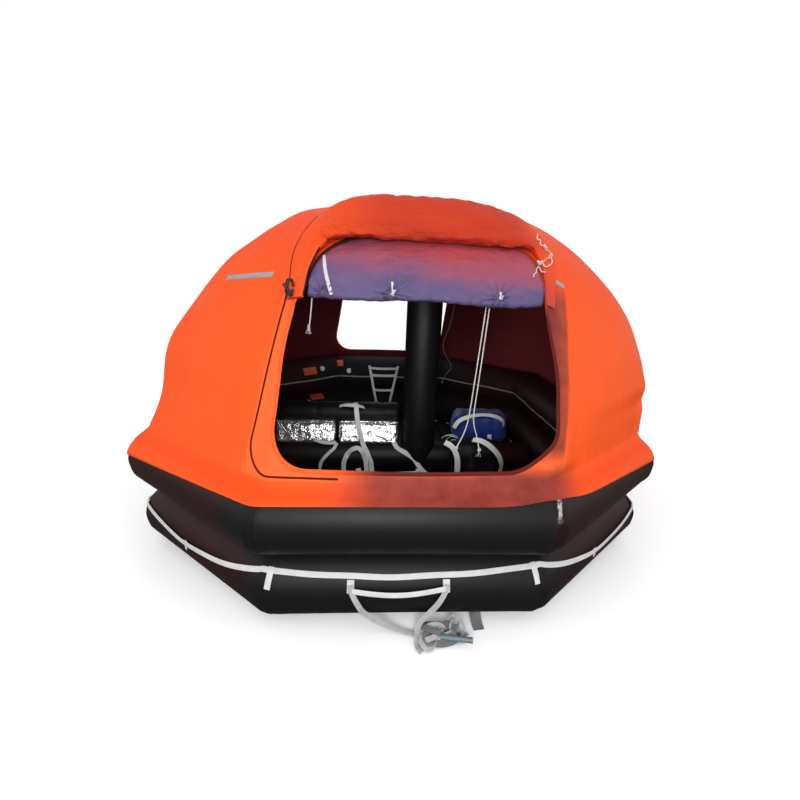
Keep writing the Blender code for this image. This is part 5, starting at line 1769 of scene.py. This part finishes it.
for node, diameter, cloth, slot, route in CORDS:
    points = smooth_line(route, 0.012)
    curve = bpy.data.curves.new(node + "_line", "CURVE")
    curve.dimensions = "3D"
    curve.bevel_depth = diameter / 2
    curve.bevel_resolution = 3
    curve.use_fill_caps = True
    spline = curve.splines.new("POLY")
    spline.points.add(len(points) - 1)
    for target, point in zip(spline.points, points):
        target.co = (*point, 1)
    line = show(node + "_line", curve, cloth)
    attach(line, "root")
    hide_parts(node)
    tail = Heap()
    end = points[-1]
    if node == "door_cord_short":
        frayed(tail, end + (0, 0, 0.03), 0.045, 1.1, 6)
    elif cloth is cord_white:
        knot(tail, end, 0.0065, 5)
        frayed(tail, end, 0.04, 2.0 if "left" in node else 0.7, 5)
    else:
        knot(tail, end, 0.0035, 2)
    tail_piece = tail.build(node + "_end", cloth, slot=slot)

# Gas cylinder
# The steel cylinder that blows the raft up, painted grey, lashed behind the raft against the lower tube,
# with a brass valve head and a hose to the tube.
CYLINDER_RADIUS = 0.07
CYLINDER_PROFILE = (
    (-0.3, 0.018), (-0.28, 0.018), (-0.275, 0.045), (-0.24, 0.068), (-0.21, CYLINDER_RADIUS),
    (0.21, CYLINDER_RADIUS), (0.24, 0.062), (0.262, 0.03),
)
cylinder_height = CYLINDER_RADIUS + 0.001
cylinder_out = sqrt((TUBE_RADIUS + CYLINDER_RADIUS + 0.004) ** 2 - (TUBE_RADIUS - cylinder_height) ** 2)
side_start, side_end = CORNERS[BACK_LEFT], CORNERS[LEFT]
cylinder_ahead = unit(np.array((*(side_end - side_start), 0.0)))
cylinder_way = np.array((cylinder_ahead[1], -cylinder_ahead[0], 0.0))
cylinder_middle = np.array((*((side_start + side_end) / 2 * LOWER_SHARE), cylinder_height))
cylinder_middle += cylinder_way * cylinder_out
profile = smooth_line([(along, radius, 0) for along, radius in CYLINDER_PROFILE], 0.012)
profile[:, 1] = np.clip(profile[:, 1], 0.017, CYLINDER_RADIUS - 0.0004)


def grey_paint(place):
    """Grey paint, chipped to bare steel in small spots."""
    chips = place.noise(38.0, 5.0, 0.75).smooth(0.64, 0.68)
    cloudy = place.noise(5.0, 3.0)
    return {
        "Base Color": chips.blend(cloudy.blend((0.085, 0.095, 0.105), (0.13, 0.14, 0.15)), (0.3, 0.28, 0.26)),
        "Roughness": cloudy * 0.15 + 0.28 + chips * 0.15,
        "Metallic": chips,
        "Bump": chips * -0.0004 + place.noise(120.0, 2.0) * 0.0001,
    }


cylinder = Heap()
profile_path = cylinder_middle + profile[:, :1] * cylinder_ahead
cylinder.carry(profile_path, circle(48, 1.0)[None] * profile[:, 1][:, None, None], (0, 0, 1))
cylinder_steel = finish("cylinder_paint", grey_paint)
cylinder.build("inflation_cylinder", cylinder_steel, ("gas_cylinder",), "cylinder_paint")
fittings = Heap()
for along, radius, length in ((-0.282, 0.026, 0.016), (-0.296, 0.021, 0.01)):
    strip = cylinder_middle + cylinder_ahead * along + np.outer(np.linspace(0, length, 4), cylinder_ahead)
    fittings.carry(strip, circle(6, radius), (0, 0, 1))


def brass_paint(place):
    """Brass, dull in patches."""
    tone = place.noise(50.0, 3.0).blend((0.42, 0.27, 0.08), (0.62, 0.44, 0.16))
    return {"Base Color": tone, "Roughness": place.noise(30.0) * 0.3 + 0.2}


brass = finish("brass", brass_paint, Metallic=1.0)
fittings.build("cylinder_valve_head", brass, slot="cylinder_paint", sharp=30)
lashing = Heap()
for along in (-0.14, 0.14):
    route = []
    for t in np.linspace(-0.42, 1.12, 34) * pi:
        out = cylinder_way * cos(t) + np.array((0, 0, 1.0)) * sin(t)
        route.append((*(cylinder_middle + cylinder_ahead * along + out * (CYLINDER_RADIUS + 0.0008)), *out))
    route = [point for point in route if point[2] > 0.003]
    lay_strap(lashing, route, 0.028)
lashing.build("cylinder_lashing", web_white, slot="webbing")

# Towing patches
# A thick rubber patch glued on each side of the lower tube, and on it a steel D-ring held by a sewn webbing
# tongue.
TOW_FACE = HALF_SIZE * LOWER_SHARE + TUBE_RADIUS + 0.0085
TOW_RING = 0.024
for node in ("towing_patch_right", "towing_patch_left"):
    bpy.data.objects[node].data.materials.clear()
    bpy.data.objects[node].data.materials.append(rubber)

# Stainless steel, wiped and a little dull
steel_paint = mottled((0.42, 0.42, 0.42), (0.66, 0.66, 0.65), (45.0, 3.0), 0.2)
ring_steel = finish("ring_steel", steel_paint, Metallic=1.0)
ring = Heap()
ring_line = [(TOW_FACE, -TOW_RING, 0.188), (TOW_FACE, TOW_RING, 0.188)]
for k in range(13):
    turn = pi * k / 12
    ring_line.append((TOW_FACE, TOW_RING * cos(turn), 0.18 - TOW_RING * 1.1 * sin(turn)))
ring_line.append(ring_line[0])
ring.carry(smooth_line(ring_line, 0.004), circle(12, 0.0033), (1, 0, 0))
ring.build_both("towing_ring_right", ring_steel, slot="cylinder_paint", axis=0)
tongue = Heap()
lay_strap(tongue, [
    (TOW_FACE - 0.0005, 0, 0.222, 1, 0, 0), (TOW_FACE + 0.0004, 0, 0.2, 1, 0, 0),
    (TOW_FACE + 0.004, 0, 0.188, 1, 0, 0),
    (TOW_FACE + 0.0004, 0, 0.177, 1, 0, 0), (TOW_FACE - 0.0005, 0, 0.168, 1, 0, 0),
], 0.036, 0.0022, 0.003)
tongue.build_both("towing_tongue_right", web_white, slot="webbing", axis=0)
